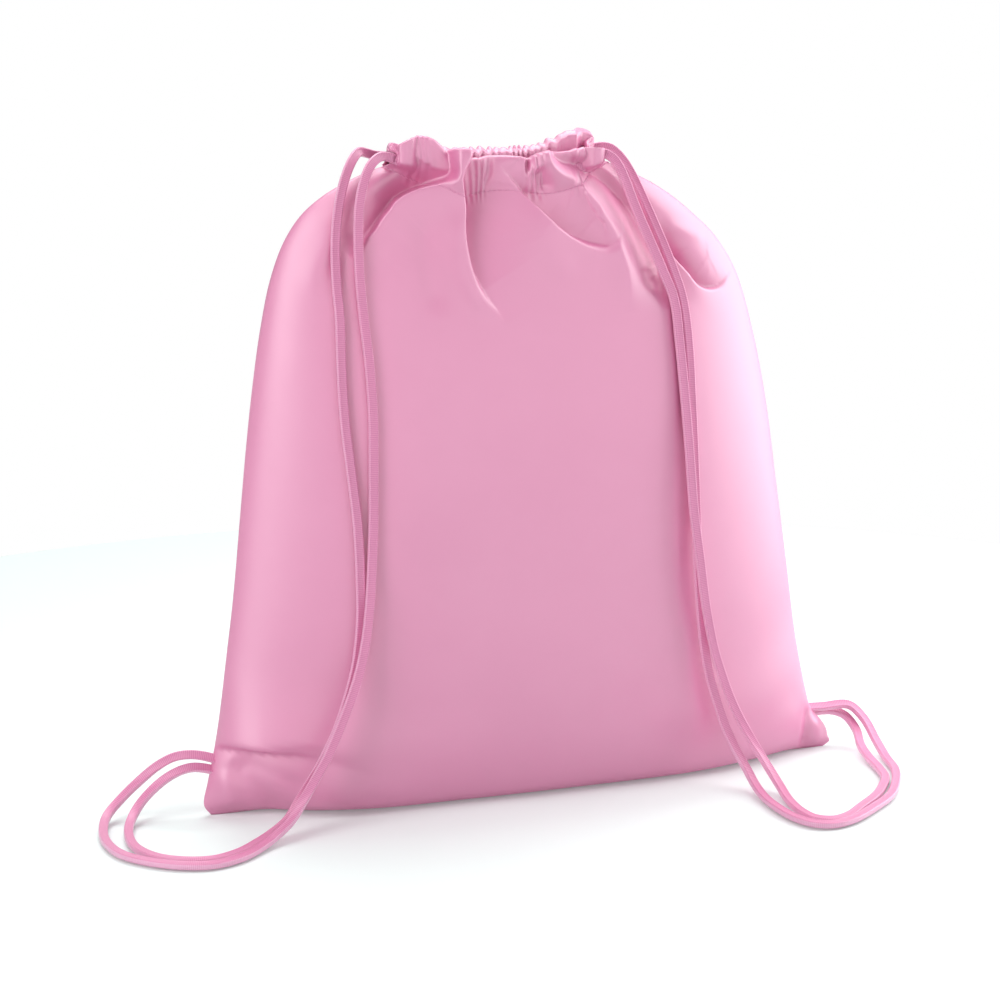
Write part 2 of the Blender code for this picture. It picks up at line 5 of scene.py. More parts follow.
import bpy
import numpy as np
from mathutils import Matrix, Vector


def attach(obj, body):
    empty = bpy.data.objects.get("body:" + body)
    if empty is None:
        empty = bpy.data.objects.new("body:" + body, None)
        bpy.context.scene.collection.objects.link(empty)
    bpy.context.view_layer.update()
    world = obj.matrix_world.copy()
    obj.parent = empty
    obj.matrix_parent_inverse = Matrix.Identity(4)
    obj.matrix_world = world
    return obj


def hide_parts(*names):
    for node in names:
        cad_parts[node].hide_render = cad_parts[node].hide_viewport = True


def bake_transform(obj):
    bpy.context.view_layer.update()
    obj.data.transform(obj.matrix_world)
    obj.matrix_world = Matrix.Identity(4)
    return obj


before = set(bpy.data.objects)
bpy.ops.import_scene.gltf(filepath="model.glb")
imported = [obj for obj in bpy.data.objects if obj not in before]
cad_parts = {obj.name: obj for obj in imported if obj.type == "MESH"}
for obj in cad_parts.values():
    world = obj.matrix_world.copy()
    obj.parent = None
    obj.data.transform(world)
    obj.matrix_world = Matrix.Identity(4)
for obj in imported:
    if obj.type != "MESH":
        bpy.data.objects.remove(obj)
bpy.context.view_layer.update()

# Camera, in the part's frame: it looks from front left, a little above the bag's middle.
CAMERA_AZIMUTH = -20.207
CAMERA_ELEVATION = 12.5
CAMERA_DISTANCE = 1.8
CAMERA_TARGET = (-0.0179, 0.0, 0.1732)
CAMERA_LENS = 110.33
CAMERA_SENSOR = 36.0

# Drawn sizes of cloth, cord and thread, in metres as everything here.
CLOTH = 0.0004
CORD_WIDTH = 0.0054
CORD_THICK = 0.0044
CORD_STEP = 0.0022
THREAD_RADIUS = 0.0003
THREAD_STEP = 0.00045
THREAD_SIDES = 6
STITCH_PITCH = 0.0030
STITCH_LIFT = 0.0002
STITCH_DIP = 0.0009
TACK_ARCH = 0.0004

# A seam's allowance, as (distance in from the seam, y) of its section, and the thread on it.
ALLOWANCE_SECTION = [(0.0010, -0.0003), (0.0090, -0.0005), (0.0090, 0.0005), (0.0010, 0.0003)]
ALLOWANCE_THREAD = (0.0035, -0.0009)
ALLOWANCE_ROWS = 160

# Side seams of the filled bag, as (x, height) from the bottom corner to the foot of the cord slot.
LEFT_SEAM = [
    (-0.1965, 0.0000), (-0.2005, 0.0060), (-0.1980, 0.0200), (-0.1945, 0.0350), (-0.1905, 0.0565),
    (-0.1856, 0.0920), (-0.1808, 0.1270), (-0.1758, 0.1736), (-0.1715, 0.2140), (-0.1673, 0.2480),
    (-0.1620, 0.2820), (-0.1557, 0.3105), (-0.1478, 0.3310), (-0.1376, 0.3460), (-0.1250, 0.3565),
    (-0.1124, 0.3635), (-0.1000, 0.3690), (-0.0890, 0.3725),
]
RIGHT_SEAM = [
    (0.1965, 0.0000), (0.2010, 0.0030), (0.1995, 0.0066), (0.1985, 0.0110), (0.1955, 0.0160),
    (0.1910, 0.0213), (0.1862, 0.0280), (0.1833, 0.0370),
    (0.1757, 0.0700), (0.1678, 0.1210), (0.1600, 0.1720), (0.1523, 0.2220), (0.1428, 0.2650),
    (0.1310, 0.3020), (0.1177, 0.3230), (0.1013, 0.3390), (0.0880, 0.3500), (0.0756, 0.3580),
    (0.0620, 0.3650), (0.0500, 0.3700),
]
# Half depths of the filled bag at its middle: on the floor, at the belly and at the stitches.
FLOOR_DEPTH = 0.018
BELLY_DEPTH = 0.052
BELLY_HEIGHT = 0.140
NECK_DEPTH = 0.0195
# Height of the stitches at the middle, how far the neck leans to the left, and cells across a panel.
STITCH_LINE = 0.352
NECK_LEAN = -0.018
COLUMNS = 280

# Shares up the panel where the pull into the gathers and the fine ruffles begin, and their spans.
GATHER_FROM, GATHER_SPAN = 0.80, 0.20
RUFFLE_FROM, RUFFLE_SPAN = 0.98, 0.02
TOP_RUFFLE = 0.6

# The channel: its ends stand open, its wall leaves room for the cords, and its lining hangs inside.
END_FROM, END_SPAN = 0.90, 0.10
LEFT_END_SHIFT = 0.0050
RIGHT_END_SHIFT = -0.0115
END_OPEN = 0.0100
WALL_LEAST = 0.0030
WALL_ROOM = 0.0045
EXIT_ROOM = 0.0060
LINING_LEAST = 0.0012
BACK_LINING_GAP = 0.0062
LINING_DROP = 0.0024
LINING_END = 0.0032

# The gathered edges, from the left slot to the right one: (x, y, stitch height, top height).
FRONT_NECK = [
    (-0.0885, 0.0, 0.3720, 0.3800), (-0.0830, -0.0080, 0.3690, 0.3845),
    (-0.0760, -0.0115, 0.3655, 0.3880), (-0.0690, -0.0140, 0.3622, 0.3893),
    (-0.0620, -0.0160, 0.3592, 0.3874), (-0.0580, -0.0171, 0.3574, 0.3838),
    (-0.0556, -0.0177, 0.3563, 0.3802), (-0.0530, -0.0182, 0.3556, 0.3818),
    (-0.0490, -0.0188, 0.3548, 0.3828), (-0.0450, -0.0193, 0.3537, 0.3822),
    (-0.0420, -0.0196, 0.3538, 0.3800), (-0.0395, -0.0197, 0.3547, 0.3766),
    (-0.0355, -0.0199, 0.3560, 0.3755), (-0.0290, -0.0200, 0.3572, 0.3765),
    (-0.0222, -0.0200, 0.3572, 0.3768), (-0.0140, -0.0200, 0.3565, 0.3764),
    (-0.0080, -0.0198, 0.3556, 0.3754), (-0.0056, -0.0197, 0.3552, 0.3744),
    (-0.0020, -0.0196, 0.3548, 0.3766), (0.0030, -0.0193, 0.3545, 0.3784),
    (0.0066, -0.0190, 0.3546, 0.3788), (0.0110, -0.0184, 0.3550, 0.3775),
    (0.0160, -0.0174, 0.3558, 0.3772), (0.0200, -0.0164, 0.3568, 0.3776),
    (0.0270, -0.0143, 0.3592, 0.3788), (0.0340, -0.0115, 0.3625, 0.3792),
    (0.0410, -0.0075, 0.3660, 0.3786), (0.0485, 0.0, 0.3692, 0.3770),
]
BACK_NECK = [
    (-0.0885, 0.0, 0.3720, 0.3800), (-0.0820, 0.0085, 0.3690, 0.3812),
    (-0.0730, 0.0130, 0.3650, 0.3815), (-0.0610, 0.0160, 0.3600, 0.3806),
    (-0.0500, 0.0172, 0.3560, 0.3796), (-0.0360, 0.0178, 0.3535, 0.3790),
    (-0.0200, 0.0180, 0.3525, 0.3784), (-0.0050, 0.0176, 0.3530, 0.3782),
    (0.0080, 0.0166, 0.3545, 0.3792), (0.0170, 0.0148, 0.3565, 0.3825),
    (0.0250, 0.0130, 0.3590, 0.3862), (0.0320, 0.0115, 0.3620, 0.3880),
    (0.0385, 0.0085, 0.3650, 0.3878), (0.0430, 0.0050, 0.3675, 0.3850),
    (0.0485, 0.0, 0.3692, 0.3780),
]
# Places along the gathered edges, as x, with finer ruffles: (from, to, half height, pitch).
FRONT_RUFFLES = [(-0.0800, -0.0590, 0.0004, 0.0052), (-0.0455, -0.0300, 0.0009, 0.0037),
                 (-0.0110, 0.0060, 0.0006, 0.0042), (0.0180, 0.0420, 0.0006, 0.0046)]
BACK_RUFFLES = [(-0.0800, 0.0230, 0.0019, 0.0046), (0.0220, 0.0420, 0.0008, 0.0060)]

# Cords, as in the solid model: from the channel's exit over the shoulder and down to the corner.
LEFT_FRONT_ROUTE = [
    (-0.0845, -0.0085, 0.3767), (-0.0897, -0.0092, 0.3785), (-0.0945, -0.0110, 0.3782),
    (-0.0996, -0.0138, 0.3750), (-0.1040, -0.0168, 0.3690), (-0.1074, -0.0192, 0.3605),
    (-0.1098, -0.0213, 0.3495), (-0.1110, -0.0238, 0.3370), (-0.1117, -0.0265, 0.3230),
    (-0.1117, -0.0292, 0.3080), (-0.1110, -0.0320, 0.2918),
    (-0.1095, -0.0370, 0.2660), (-0.1088, -0.0410, 0.2350), (-0.1097, -0.0435, 0.2050),
    (-0.1105, -0.0448, 0.1760), (-0.1120, -0.0460, 0.1500), (-0.1145, -0.0490, 0.1280),
    (-0.1180, -0.0515, 0.1080), (-0.1230, -0.0535, 0.0900), (-0.1295, -0.0557, 0.0745),
    (-0.1365, -0.0568, 0.0590), (-0.1440, -0.0580, 0.0445), (-0.1505, -0.0590, 0.0345),
    (-0.1585, -0.0605, 0.0225), (-0.1670, -0.0630, 0.0120), (-0.1770, -0.0665, 0.0055),
    (-0.1895, -0.0765, 0.0030), (-0.2035, -0.0880, 0.0030), (-0.2200, -0.0935, 0.0030),
    (-0.2360, -0.0890, 0.0030), (-0.2515, -0.0770, 0.0030), (-0.2630, -0.0600, 0.0030),
    (-0.2665, -0.0385, 0.0030), (-0.2635, -0.0150, 0.0032), (-0.2565, 0.0030, 0.0060),
    (-0.2465, 0.0085, 0.0135), (-0.2360, 0.0085, 0.0225), (-0.2260, 0.0070, 0.0305),
    (-0.2165, 0.0050, 0.0355), (-0.2070, 0.0015, 0.0370),
]
LEFT_BACK_ROUTE = [
    (-0.0845, 0.0085, 0.3767), (-0.0910, 0.0078, 0.3775), (-0.0975, 0.0042, 0.3795),
    (-0.1035, -0.0018, 0.3806), (-0.1092, -0.0072, 0.3762), (-0.1142, -0.0112, 0.3682),
    (-0.1182, -0.0142, 0.3578), (-0.1215, -0.0172, 0.3440), (-0.1235, -0.0205, 0.3280),
    (-0.1243, -0.0248, 0.3100), (-0.1240, -0.0290, 0.2918),
    (-0.1245, -0.0330, 0.2620), (-0.1240, -0.0362, 0.2350),
    (-0.1215, -0.0395, 0.2050), (-0.1190, -0.0422, 0.1760), (-0.1180, -0.0435, 0.1450),
    (-0.1185, -0.0445, 0.1180), (-0.1220, -0.0465, 0.0950), (-0.1288, -0.0495, 0.0745),
    (-0.1355, -0.0505, 0.0575), (-0.1440, -0.0520, 0.0425), (-0.1505, -0.0525, 0.0325),
    (-0.1590, -0.0537, 0.0205), (-0.1665, -0.0560, 0.0110), (-0.1760, -0.0590, 0.0055),
    (-0.1885, -0.0675, 0.0030), (-0.2025, -0.0795, 0.0030), (-0.2180, -0.0855, 0.0030),
    (-0.2325, -0.0820, 0.0030), (-0.2455, -0.0715, 0.0030), (-0.2530, -0.0520, 0.0030),
    (-0.2515, -0.0265, 0.0032), (-0.2445, -0.0060, 0.0055), (-0.2380, 0.0000, 0.0115),
    (-0.2300, 0.0010, 0.0190), (-0.2215, 0.0010, 0.0250), (-0.2130, 0.0010, 0.0285),
    (-0.2060, 0.0005, 0.0295),
]
RIGHT_FRONT_ROUTE = [
    (0.0376, -0.0085, 0.3752), (0.0423, -0.0094, 0.3755), (0.0465, -0.0118, 0.3732),
    (0.0497, -0.0152, 0.3680), (0.0524, -0.0184, 0.3602), (0.0554, -0.0216, 0.3500),
    (0.0592, -0.0247, 0.3388), (0.0642, -0.0279, 0.3258), (0.0706, -0.0308, 0.3098),
    (0.0773, -0.0333, 0.2918),
    (0.0790, -0.0380, 0.2680), (0.0805, -0.0437, 0.2350),
    (0.0815, -0.0488, 0.2050), (0.0830, -0.0525, 0.1720), (0.0870, -0.0542, 0.1400),
    (0.0915, -0.0537, 0.1110), (0.0980, -0.0515, 0.0850), (0.1030, -0.0525, 0.0685),
    (0.1085, -0.0540, 0.0530), (0.1150, -0.0565, 0.0385), (0.1220, -0.0610, 0.0245),
    (0.1275, -0.0675, 0.0130), (0.1295, -0.0780, 0.0055), (0.1265, -0.0960, 0.0030),
    (0.1240, -0.1110, 0.0030), (0.1234, -0.1235, 0.0030), (0.1256, -0.1352, 0.0030),
    (0.1338, -0.1412, 0.0030), (0.1449, -0.1380, 0.0030), (0.1600, -0.1252, 0.0030),
    (0.1780, -0.1090, 0.0030), (0.1905, -0.0930, 0.0030), (0.1985, -0.0800, 0.0030),
    (0.2035, -0.0620, 0.0030), (0.2065, -0.0420, 0.0040), (0.2095, -0.0255, 0.0068),
    (0.2135, -0.0110, 0.0120), (0.2110, -0.0014, 0.0183),
]
RIGHT_BACK_ROUTE = [
    (0.0405, 0.0085, 0.3758), (0.0465, 0.0078, 0.3775), (0.0520, 0.0055, 0.3768),
    (0.0568, 0.0015, 0.3722), (0.0607, -0.0040, 0.3645), (0.0640, -0.0095, 0.3550),
    (0.0668, -0.0157, 0.3448), (0.0708, -0.0206, 0.3328), (0.0751, -0.0249, 0.3202),
    (0.0795, -0.0286, 0.3066), (0.0835, -0.0315, 0.2918),
    (0.0853, -0.0370, 0.2650),
    (0.0858, -0.0410, 0.2350), (0.0863, -0.0445, 0.2030), (0.0870, -0.0468, 0.1720),
    (0.0882, -0.0480, 0.1400), (0.0905, -0.0476, 0.1110), (0.0935, -0.0468, 0.0870),
    (0.0965, -0.0490, 0.0680), (0.1005, -0.0510, 0.0530), (0.1055, -0.0535, 0.0365),
    (0.1105, -0.0572, 0.0235), (0.1150, -0.0635, 0.0125), (0.1165, -0.0720, 0.0055),
    (0.1145, -0.0910, 0.0030), (0.1135, -0.1130, 0.0030), (0.1155, -0.1310, 0.0030),
    (0.1210, -0.1430, 0.0030), (0.1305, -0.1480, 0.0030), (0.1450, -0.1440, 0.0030),
    (0.1635, -0.1310, 0.0030), (0.1850, -0.1125, 0.0030), (0.1990, -0.0925, 0.0030),
    (0.2110, -0.0690, 0.0030), (0.2180, -0.0430, 0.0030), (0.2205, -0.0250, 0.0080),
    (0.2190, -0.0100, 0.0185), (0.2130, -0.0012, 0.0252),
]


def smooth_step(x):
    x = np.clip(x, 0.0, 1.0)
    return x * x * (3 - 2 * x)


def spline(route, steps=20):
    """Closely spaced points of a smooth curve through a route's own points."""
    points = np.array(route, float)
    padded = np.vstack([2 * points[0] - points[1], points, 2 * points[-1] - points[-2]])
    gaps = np.maximum(np.sqrt(np.linalg.norm(np.diff(padded, axis=0), axis=1)), 1e-9)
    knots = np.concatenate([[0.0], np.cumsum(gaps)])
    curve = []
    for k in range(1, len(padded) - 2):
        p0, p1, p2, p3 = padded[k - 1:k + 3]
        t0, t1, t2, t3 = knots[k - 1:k + 3]
        t = np.linspace(t1, t2, steps, endpoint=False)[:, None]
        a1 = (t1 - t) / (t1 - t0) * p0 + (t - t0) / (t1 - t0) * p1
        a2 = (t2 - t) / (t2 - t1) * p1 + (t - t1) / (t2 - t1) * p2
        a3 = (t3 - t) / (t3 - t2) * p2 + (t - t2) / (t3 - t2) * p3
        b1 = (t2 - t) / (t2 - t0) * a1 + (t - t0) / (t2 - t0) * a2
        b2 = (t3 - t) / (t3 - t1) * a2 + (t - t1) / (t3 - t1) * a3
        curve.append((t2 - t) / (t2 - t1) * b1 + (t - t1) / (t2 - t1) * b2)
    curve.append(points[-1:])
    return np.vstack(curve)


def reach_along(curve):
    return np.concatenate([[0.0], np.cumsum(np.linalg.norm(np.diff(curve, axis=0), axis=1))])


def at_shares(curve, shares):
    """Points of a curve at shares, from 0 to 1, of its length."""
    reach = reach_along(curve)
    places = np.clip(shares, 0.0, 1.0) * reach[-1]
    return np.stack([np.interp(places, reach, column) for column in curve.T], axis=-1)


def resampled(curve, step):
    """Points about a step apart along a curve."""
    return at_shares(curve, np.linspace(0.0, 1.0, int(reach_along(curve)[-1] / step)))


def unit_tangents(line):
    tangent = np.gradient(line, axis=0)
    return tangent / np.linalg.norm(tangent, axis=1)[:, None]


def tube_faces(count, around):
    """Faces of a tube of rings, closed at both ends."""
    faces = []
    for r in range(count - 1):
        for c in range(around):
            a, b = r * around + c, r * around + (c + 1) % around
            faces.append((a, b, b + around, a + around))
    faces.append(tuple(range(around))[::-1])
    faces.append(tuple((count - 1) * around + c for c in range(around)))
    return faces


def add_mesh(name, points, faces, material, smooth=True):
    mesh = bpy.data.meshes.new(name)
    mesh.from_pydata([tuple(p) for p in points], [], faces)
    mesh.update()
    if smooth:
        mesh.shade_smooth()
    thing = bpy.data.objects.new(name, mesh)
    thing.data.materials.append(material)
    bpy.context.scene.collection.objects.link(thing)
    return thing


def grid_faces(rows, columns, flip=False):
    r, c = np.meshgrid(np.arange(rows - 1), np.arange(columns - 1), indexing="ij")
    a = (r * columns + c).ravel()
    quads = np.stack([a, a + 1, a + columns + 1, a + columns], axis=1)
    if flip:
        quads = quads[:, ::-1]
    return quads.tolist()


# Materials

def new_material(name):
    material = bpy.data.materials.new(name)
    material.use_nodes = True
    tree = material.node_tree
    return material, tree, tree.nodes["Principled BSDF"]


def satin_material():
    """Satin-faced woven polyester: fine weave, a soft broad sheen."""
    material, tree, shader = new_material("pink_satin")
    nodes, links = tree.nodes, tree.links
    place = nodes.new("ShaderNodeTexCoord")
    weave_x = nodes.new("ShaderNodeTexWave")
    weave_x.wave_type = "BANDS"
    weave_x.bands_direction = "X"
    weave_x.inputs["Scale"].default_value = 700.0
    weave_x.inputs["Distortion"].default_value = 0.6
    weave_z = nodes.new("ShaderNodeTexWave")
    weave_z.wave_type = "BANDS"
    weave_z.bands_direction = "Z"
    weave_z.inputs["Scale"].default_value = 900.0
    weave_z.inputs["Distortion"].default_value = 0.6
    cross = nodes.new("ShaderNodeMath")
    cross.operation = "ADD"
    cloud = nodes.new("ShaderNodeTexNoise")
    cloud.inputs["Scale"].default_value = 14.0
    cloud.inputs["Detail"].default_value = 3.0
    tint = nodes.new("ShaderNodeValToRGB")
    tint.color_ramp.elements[0].position = 0.3
    tint.color_ramp.elements[0].color = (0.680, 0.185, 0.378, 1)
    tint.color_ramp.elements[1].position = 0.7
    tint.color_ramp.elements[1].color = (0.705, 0.205, 0.400, 1)
    bump = nodes.new("ShaderNodeBump")
    bump.inputs["Strength"].default_value = 0.08
    bump.inputs["Distance"].default_value = 0.0002
    for node in (weave_x, weave_z, cloud):
        links.new(place.outputs["Object"], node.inputs["Vector"])
    links.new(weave_x.outputs["Fac"], cross.inputs[0])
    links.new(weave_z.outputs["Fac"], cross.inputs[1])
    links.new(cross.outputs[0], bump.inputs["Height"])
    links.new(cloud.outputs["Fac"], tint.inputs["Fac"])
    links.new(tint.outputs["Color"], shader.inputs["Base Color"])
    links.new(bump.outputs["Normal"], shader.inputs["Normal"])
    shader.inputs["Roughness"].default_value = 0.45
    shader.inputs["Specular IOR Level"].default_value = 1.0
    shader.inputs["IOR"].default_value = 1.8
    shader.inputs["Sheen Weight"].default_value = 0.05
    shader.inputs["Sheen Roughness"].default_value = 0.35
    shader.inputs["Sheen Tint"].default_value = (1.0, 0.85, 0.93, 1)
    return material


def cord_material():
    """Knitted polyester cord: fine ribs across the middle, painted shade in the rib grooves and a
    painted highlight on the rolled edges.
    """
    material, tree, shader = new_material("pink_cord")
    nodes, links = tree.nodes, tree.links
    place = nodes.new("ShaderNodeUVMap")
    ribs = nodes.new("ShaderNodeTexWave")
    ribs.wave_type = "BANDS"
    ribs.bands_direction = "Y"
    ribs.inputs["Scale"].default_value = 1.0
    ribs.inputs["Distortion"].default_value = 0.3
    scale = nodes.new("ShaderNodeMapping")
    scale.inputs["Scale"].default_value = (6.0, 300.0, 1.0)
    # The flat middle's colour, darker in the rib grooves: painted shade.
    middle = nodes.new("ShaderNodeValToRGB")
    middle.color_ramp.elements[0].position = 0.1
    middle.color_ramp.elements[0].color = (0.66, 0.18, 0.37, 1)
    middle.color_ramp.elements[1].position = 0.8
    middle.color_ramp.elements[1].color = (0.77, 0.27, 0.47, 1)
    # A lighter colour on the rolled edges, a painted highlight, also darker in the rib grooves:
    # painted shade.
    rolled = nodes.new("ShaderNodeValToRGB")
    rolled.color_ramp.elements[0].color = (0.80, 0.34, 0.54, 1)
    rolled.color_ramp.elements[1].color = (0.88, 0.46, 0.65, 1)
    # A band around the cord that puts the painted edge highlight on the rolled edges.
    around = nodes.new("ShaderNodeTexWave")
    around.wave_type = "BANDS"
    around.bands_direction = "X"
    around.inputs["Scale"].default_value = 0.628
    inside = nodes.new("ShaderNodeValToRGB")
    inside.color_ramp.elements[0].position = 0.12
    inside.color_ramp.elements[1].position = 0.42
    tint = nodes.new("ShaderNodeMix")
    tint.data_type = "RGBA"
    bump = nodes.new("ShaderNodeBump")
    bump.inputs["Strength"].default_value = 0.3
    bump.inputs["Distance"].default_value = 0.0002
    links.new(place.outputs["UV"], scale.inputs["Vector"])
    links.new(scale.outputs["Vector"], ribs.inputs["Vector"])
    links.new(place.outputs["UV"], around.inputs["Vector"])
    links.new(around.outputs["Fac"], inside.inputs["Fac"])
    links.new(ribs.outputs["Fac"], middle.inputs["Fac"])
    links.new(ribs.outputs["Fac"], rolled.inputs["Fac"])
    links.new(inside.outputs["Color"], tint.inputs["Factor"])
    links.new(rolled.outputs["Color"], tint.inputs["A"])
    links.new(middle.outputs["Color"], tint.inputs["B"])
    links.new(ribs.outputs["Fac"], bump.inputs["Height"])
    links.new(tint.outputs["Result"], shader.inputs["Base Color"])
    links.new(bump.outputs["Normal"], shader.inputs["Normal"])
    shader.inputs["Roughness"].default_value = 0.38
    shader.inputs["Specular IOR Level"].default_value = 0.6
    shader.inputs["IOR"].default_value = 1.6
    shader.inputs["Sheen Weight"].default_value = 0.2
    shader.inputs["Sheen Roughness"].default_value = 0.4
    return material


def thread_material():
    material, tree, shader = new_material("pink_thread")
    nodes, links = tree.nodes, tree.links
    place = nodes.new("ShaderNodeTexCoord")
    speck = nodes.new("ShaderNodeTexNoise")
    speck.inputs["Scale"].default_value = 900.0
    tint = nodes.new("ShaderNodeValToRGB")
    tint.color_ramp.elements[0].color = (0.72, 0.26, 0.45, 1)
    tint.color_ramp.elements[1].color = (0.82, 0.38, 0.58, 1)
    links.new(place.outputs["Object"], speck.inputs["Vector"])
    links.new(speck.outputs["Fac"], tint.inputs["Fac"])
    links.new(tint.outputs["Color"], shader.inputs["Base Color"])
    shader.inputs["Roughness"].default_value = 0.55
    return material


SATIN = satin_material()
CORD = cord_material()
THREAD = thread_material()


# Cloth panels

def half_depth(height):
    """Seam plane to the front of the filled bag, at its middle."""
    fall = np.clip(1 - height / BELLY_HEIGHT, 0.0, 1.0)
    rise = np.clip((height - BELLY_HEIGHT) / (STITCH_LINE - BELLY_HEIGHT), 0.0, 1.0)
    low = FLOOR_DEPTH + (BELLY_DEPTH - FLOOR_DEPTH) * np.cbrt(1 - fall ** 3)
    high = NECK_DEPTH + (BELLY_DEPTH - NECK_DEPTH) * (1 - rise ** 2.2)
    return np.where(height <= BELLY_HEIGHT, low, high)


def body_rows():
    """Shares up the panel of each row, closer together towards the gathers."""
    low = np.linspace(0.0, 0.14, 34)
    middle = np.linspace(0.14, 0.62, 40)[1:]
    high = np.linspace(0.62, 1.0, 170)[1:]
    return np.concatenate([low, middle, high])


def smooth_panel(side):
    """The panel's filled shape without folds: points[row, column], front for side -1."""
    shares = body_rows()
    across = np.linspace(-1.0, 1.0, COLUMNS + 1)
    even = smooth_step((shares - 0.60) / 0.35)[:, None]
    place = np.sin(np.pi / 2 * across) * (1 - even) + across * even
    left = at_shares(spline(LEFT_SEAM), shares)
    right = at_shares(spline(RIGHT_SEAM), shares)
    heights = np.linspace(0.0, STITCH_LINE, 200)
    meridian = np.vstack([[0.0, 0.0], np.stack([half_depth(heights), heights], axis=1)])
    crown = at_shares(meridian, shares)
    middle = NECK_LEAN * (crown[:, 1] / STITCH_LINE) ** 1.5
    square_base = 1 - smooth_step(shares / 0.15)[:, None]
    full_base = 1 - smooth_step(shares / 0.25)[:, None]
    edge = np.abs(place) ** (2.3 + 5.7 * square_base)
    bulge = np.maximum(0.0, 1 - np.abs(place) ** (2.3 + 3.7 * full_base)) ** 0.62
    x = np.where(place < 0, middle[:, None] + (middle - left[:, 0])[:, None] * place,
                 middle[:, None] + (right[:, 0] - middle)[:, None] * place)
    side_height = np.where(place < 0, left[:, 1][:, None], right[:, 1][:, None])
    z = crown[:, 1][:, None] + (side_height - crown[:, 1][:, None]) * edge
    y = side * crown[:, 0][:, None] * bulge
    return np.stack([x, y, z], axis=2), shares, across


def path_distance(points, path):
    """Signed distance of (x, z) points to a path, left of it positive.

    Also their share along the path, and the direction to its left.
    """
    line = spline(path, 8)
    flat = points.reshape(-1, 2)
    best = np.full(len(flat), np.inf)
    signed = np.zeros(len(flat))
    share = np.zeros(len(flat))
    left = np.zeros((len(flat), 2))
    reach = reach_along(line)
    for k in range(len(line) - 1):
        a, b = line[k], line[k + 1]
        along = b - a
        size = along @ along
        t = np.clip(((flat - a) @ along) / size, 0.0, 1.0)
        off = flat - (a + t[:, None] * along)
        far = np.hypot(off[:, 0], off[:, 1])
        nearer = far < best
        turn = along[0] * off[:, 1] - along[1] * off[:, 0]
        best = np.where(nearer, far, best)
        signed = np.where(nearer, np.where(turn >= 0, far, -far), signed)
        share = np.where(nearer, (reach[k] + t * math.sqrt(size)) / reach[-1], share)
        left[nearer] = np.array([-along[1], along[0]]) / math.sqrt(size)
    shape = points.shape[:-1]
    return signed.reshape(shape), share.reshape(shape), left.reshape(shape + (2,))


def along_path(share, values):
    """A value that changes along a path, through values at equal shares of it."""
    return np.interp(share, np.linspace(0.0, 1.0, len(values)), values)


def fold_edge(points, path, high, low, wide_high, wide_low, round_over,
              over=(0.0,), crisp=0.5, slant=False):
    """Move (x, out, z) of a tucked fold.

    Left of the path the cloth rolls up and hangs over the path, and right of it it lies low.
    """
    distance, share, left = path_distance(points, path)
    high, low, round_over, over = (along_path(share, values)
                                   for values in (high, low, round_over, over))
    rolled = np.clip(distance / round_over, 0.0, 1.0)
    rise = 1 - (1 - rolled) ** 1.3 if slant else np.sin(np.pi / 2 * rolled) ** crisp
    beyond = np.maximum(distance - round_over, 0.0)
    up = high * np.exp(-(beyond / wide_high) ** 1.4)
    down = low * np.exp(-(np.maximum(-distance, 0.0) / wide_low) ** 1.4)
    lap = over * np.sin(np.pi / 2 * rolled) * np.exp(-(beyond / (2.5 * round_over)) ** 2)
    out = rise * up - (1 - rise) * down
    return np.stack([-lap * left[..., 0], out, -lap * left[..., 1]], axis=-1)


def soft_fold(points, path, high, wide, start=0.25, end=0.25):
    """Move (x, out, z) of a rounded ridge, or of a valley where high is negative, along a path."""
    distance, share, _ = path_distance(points, path)
    strength = smooth_step(share / start) * smooth_step((1 - share) / end)
    height = strength * high * np.exp(-(distance / wide) ** 2)
    return np.stack([0 * height, height, 0 * height], axis=-1)


def neck_curve(neck, across):
    curve = spline(neck, 16)
    places = (across + 1) / 2 * (curve[-1, 0] - curve[0, 0]) + curve[0, 0]
    return np.stack([np.interp(places, curve[:, 0], column) for column in curve.T], axis=1)


def ruffle_heights(x, z, ruffles):
    """Outward height of the fine ruffles along a gathered edge, none of them quite alike."""
    height = np.zeros_like(x)
    for first, last, high, pitch in ruffles:
        window = smooth_step((x - first) / 0.005) * smooth_step((last - x) / 0.005)
        lean = x + 0.22 * (z - 0.365) * np.sin(95.0 * x + 0.4)
        wander = 1.3 * np.sin(lean * 173.0) + 0.9 * np.sin(lean * 391.0 + 1.0)
        uneven = 0.65 + 0.35 * np.sin(lean * 257.0 + 2.0)
        height += window * uneven * high * np.sin(2 * np.pi * lean / pitch + wander)
    return height


def channel_outside(side, across, edge, top, held, ruffles, folds):
    """Rows of the channel's outer wall, from the stitches up to its top."""
    flat_x, flat_y, flat_z = edge
    left_end = smooth_step((-END_FROM - across) / END_SPAN)
    right_end = smooth_step((across - END_FROM) / END_SPAN)
    open_x = LEFT_END_SHIFT * left_end + RIGHT_END_SHIFT * right_end
    open_y = END_OPEN * (left_end + right_end)
    inside_ends = smooth_step((1 - np.abs(across)) / 0.15)
    exits = smooth_step((np.abs(across) - 0.70) / 0.12) * smooth_step((1 - np.abs(across)) / 0.05)
    rows = []
    for up in np.sin(np.pi / 2 * np.linspace(0.0, 1.0, 30)[1:]):
        spread = smooth_step(up / 0.4)
        z = flat_z + (top - flat_z) * up
        move = held[:, None] * folds(np.stack([flat_x, z], axis=1)[None], np.ones((1, 1)))[0]
        ruffle = held * ruffle_heights(flat_x, z, ruffles) * (1 - 0.3 * up)
        swell = 0.0006 * math.sin(math.pi * min(1.0, up * 1.15))
        round_top = 0.0030 * (1 - math.sqrt(1 - up ** 8))
        x = flat_x + move[:, 0] + open_x * spread
        y = side * flat_y + move[:, 1] + ruffle + open_y * spread + swell - round_top
        least = WALL_LEAST + spread * (WALL_ROOM * inside_ends + EXIT_ROOM * exits)
        rows.append(np.stack([x, side * np.maximum(y, least), z + move[:, 2] * (1 - up)], axis=1))
    return rows


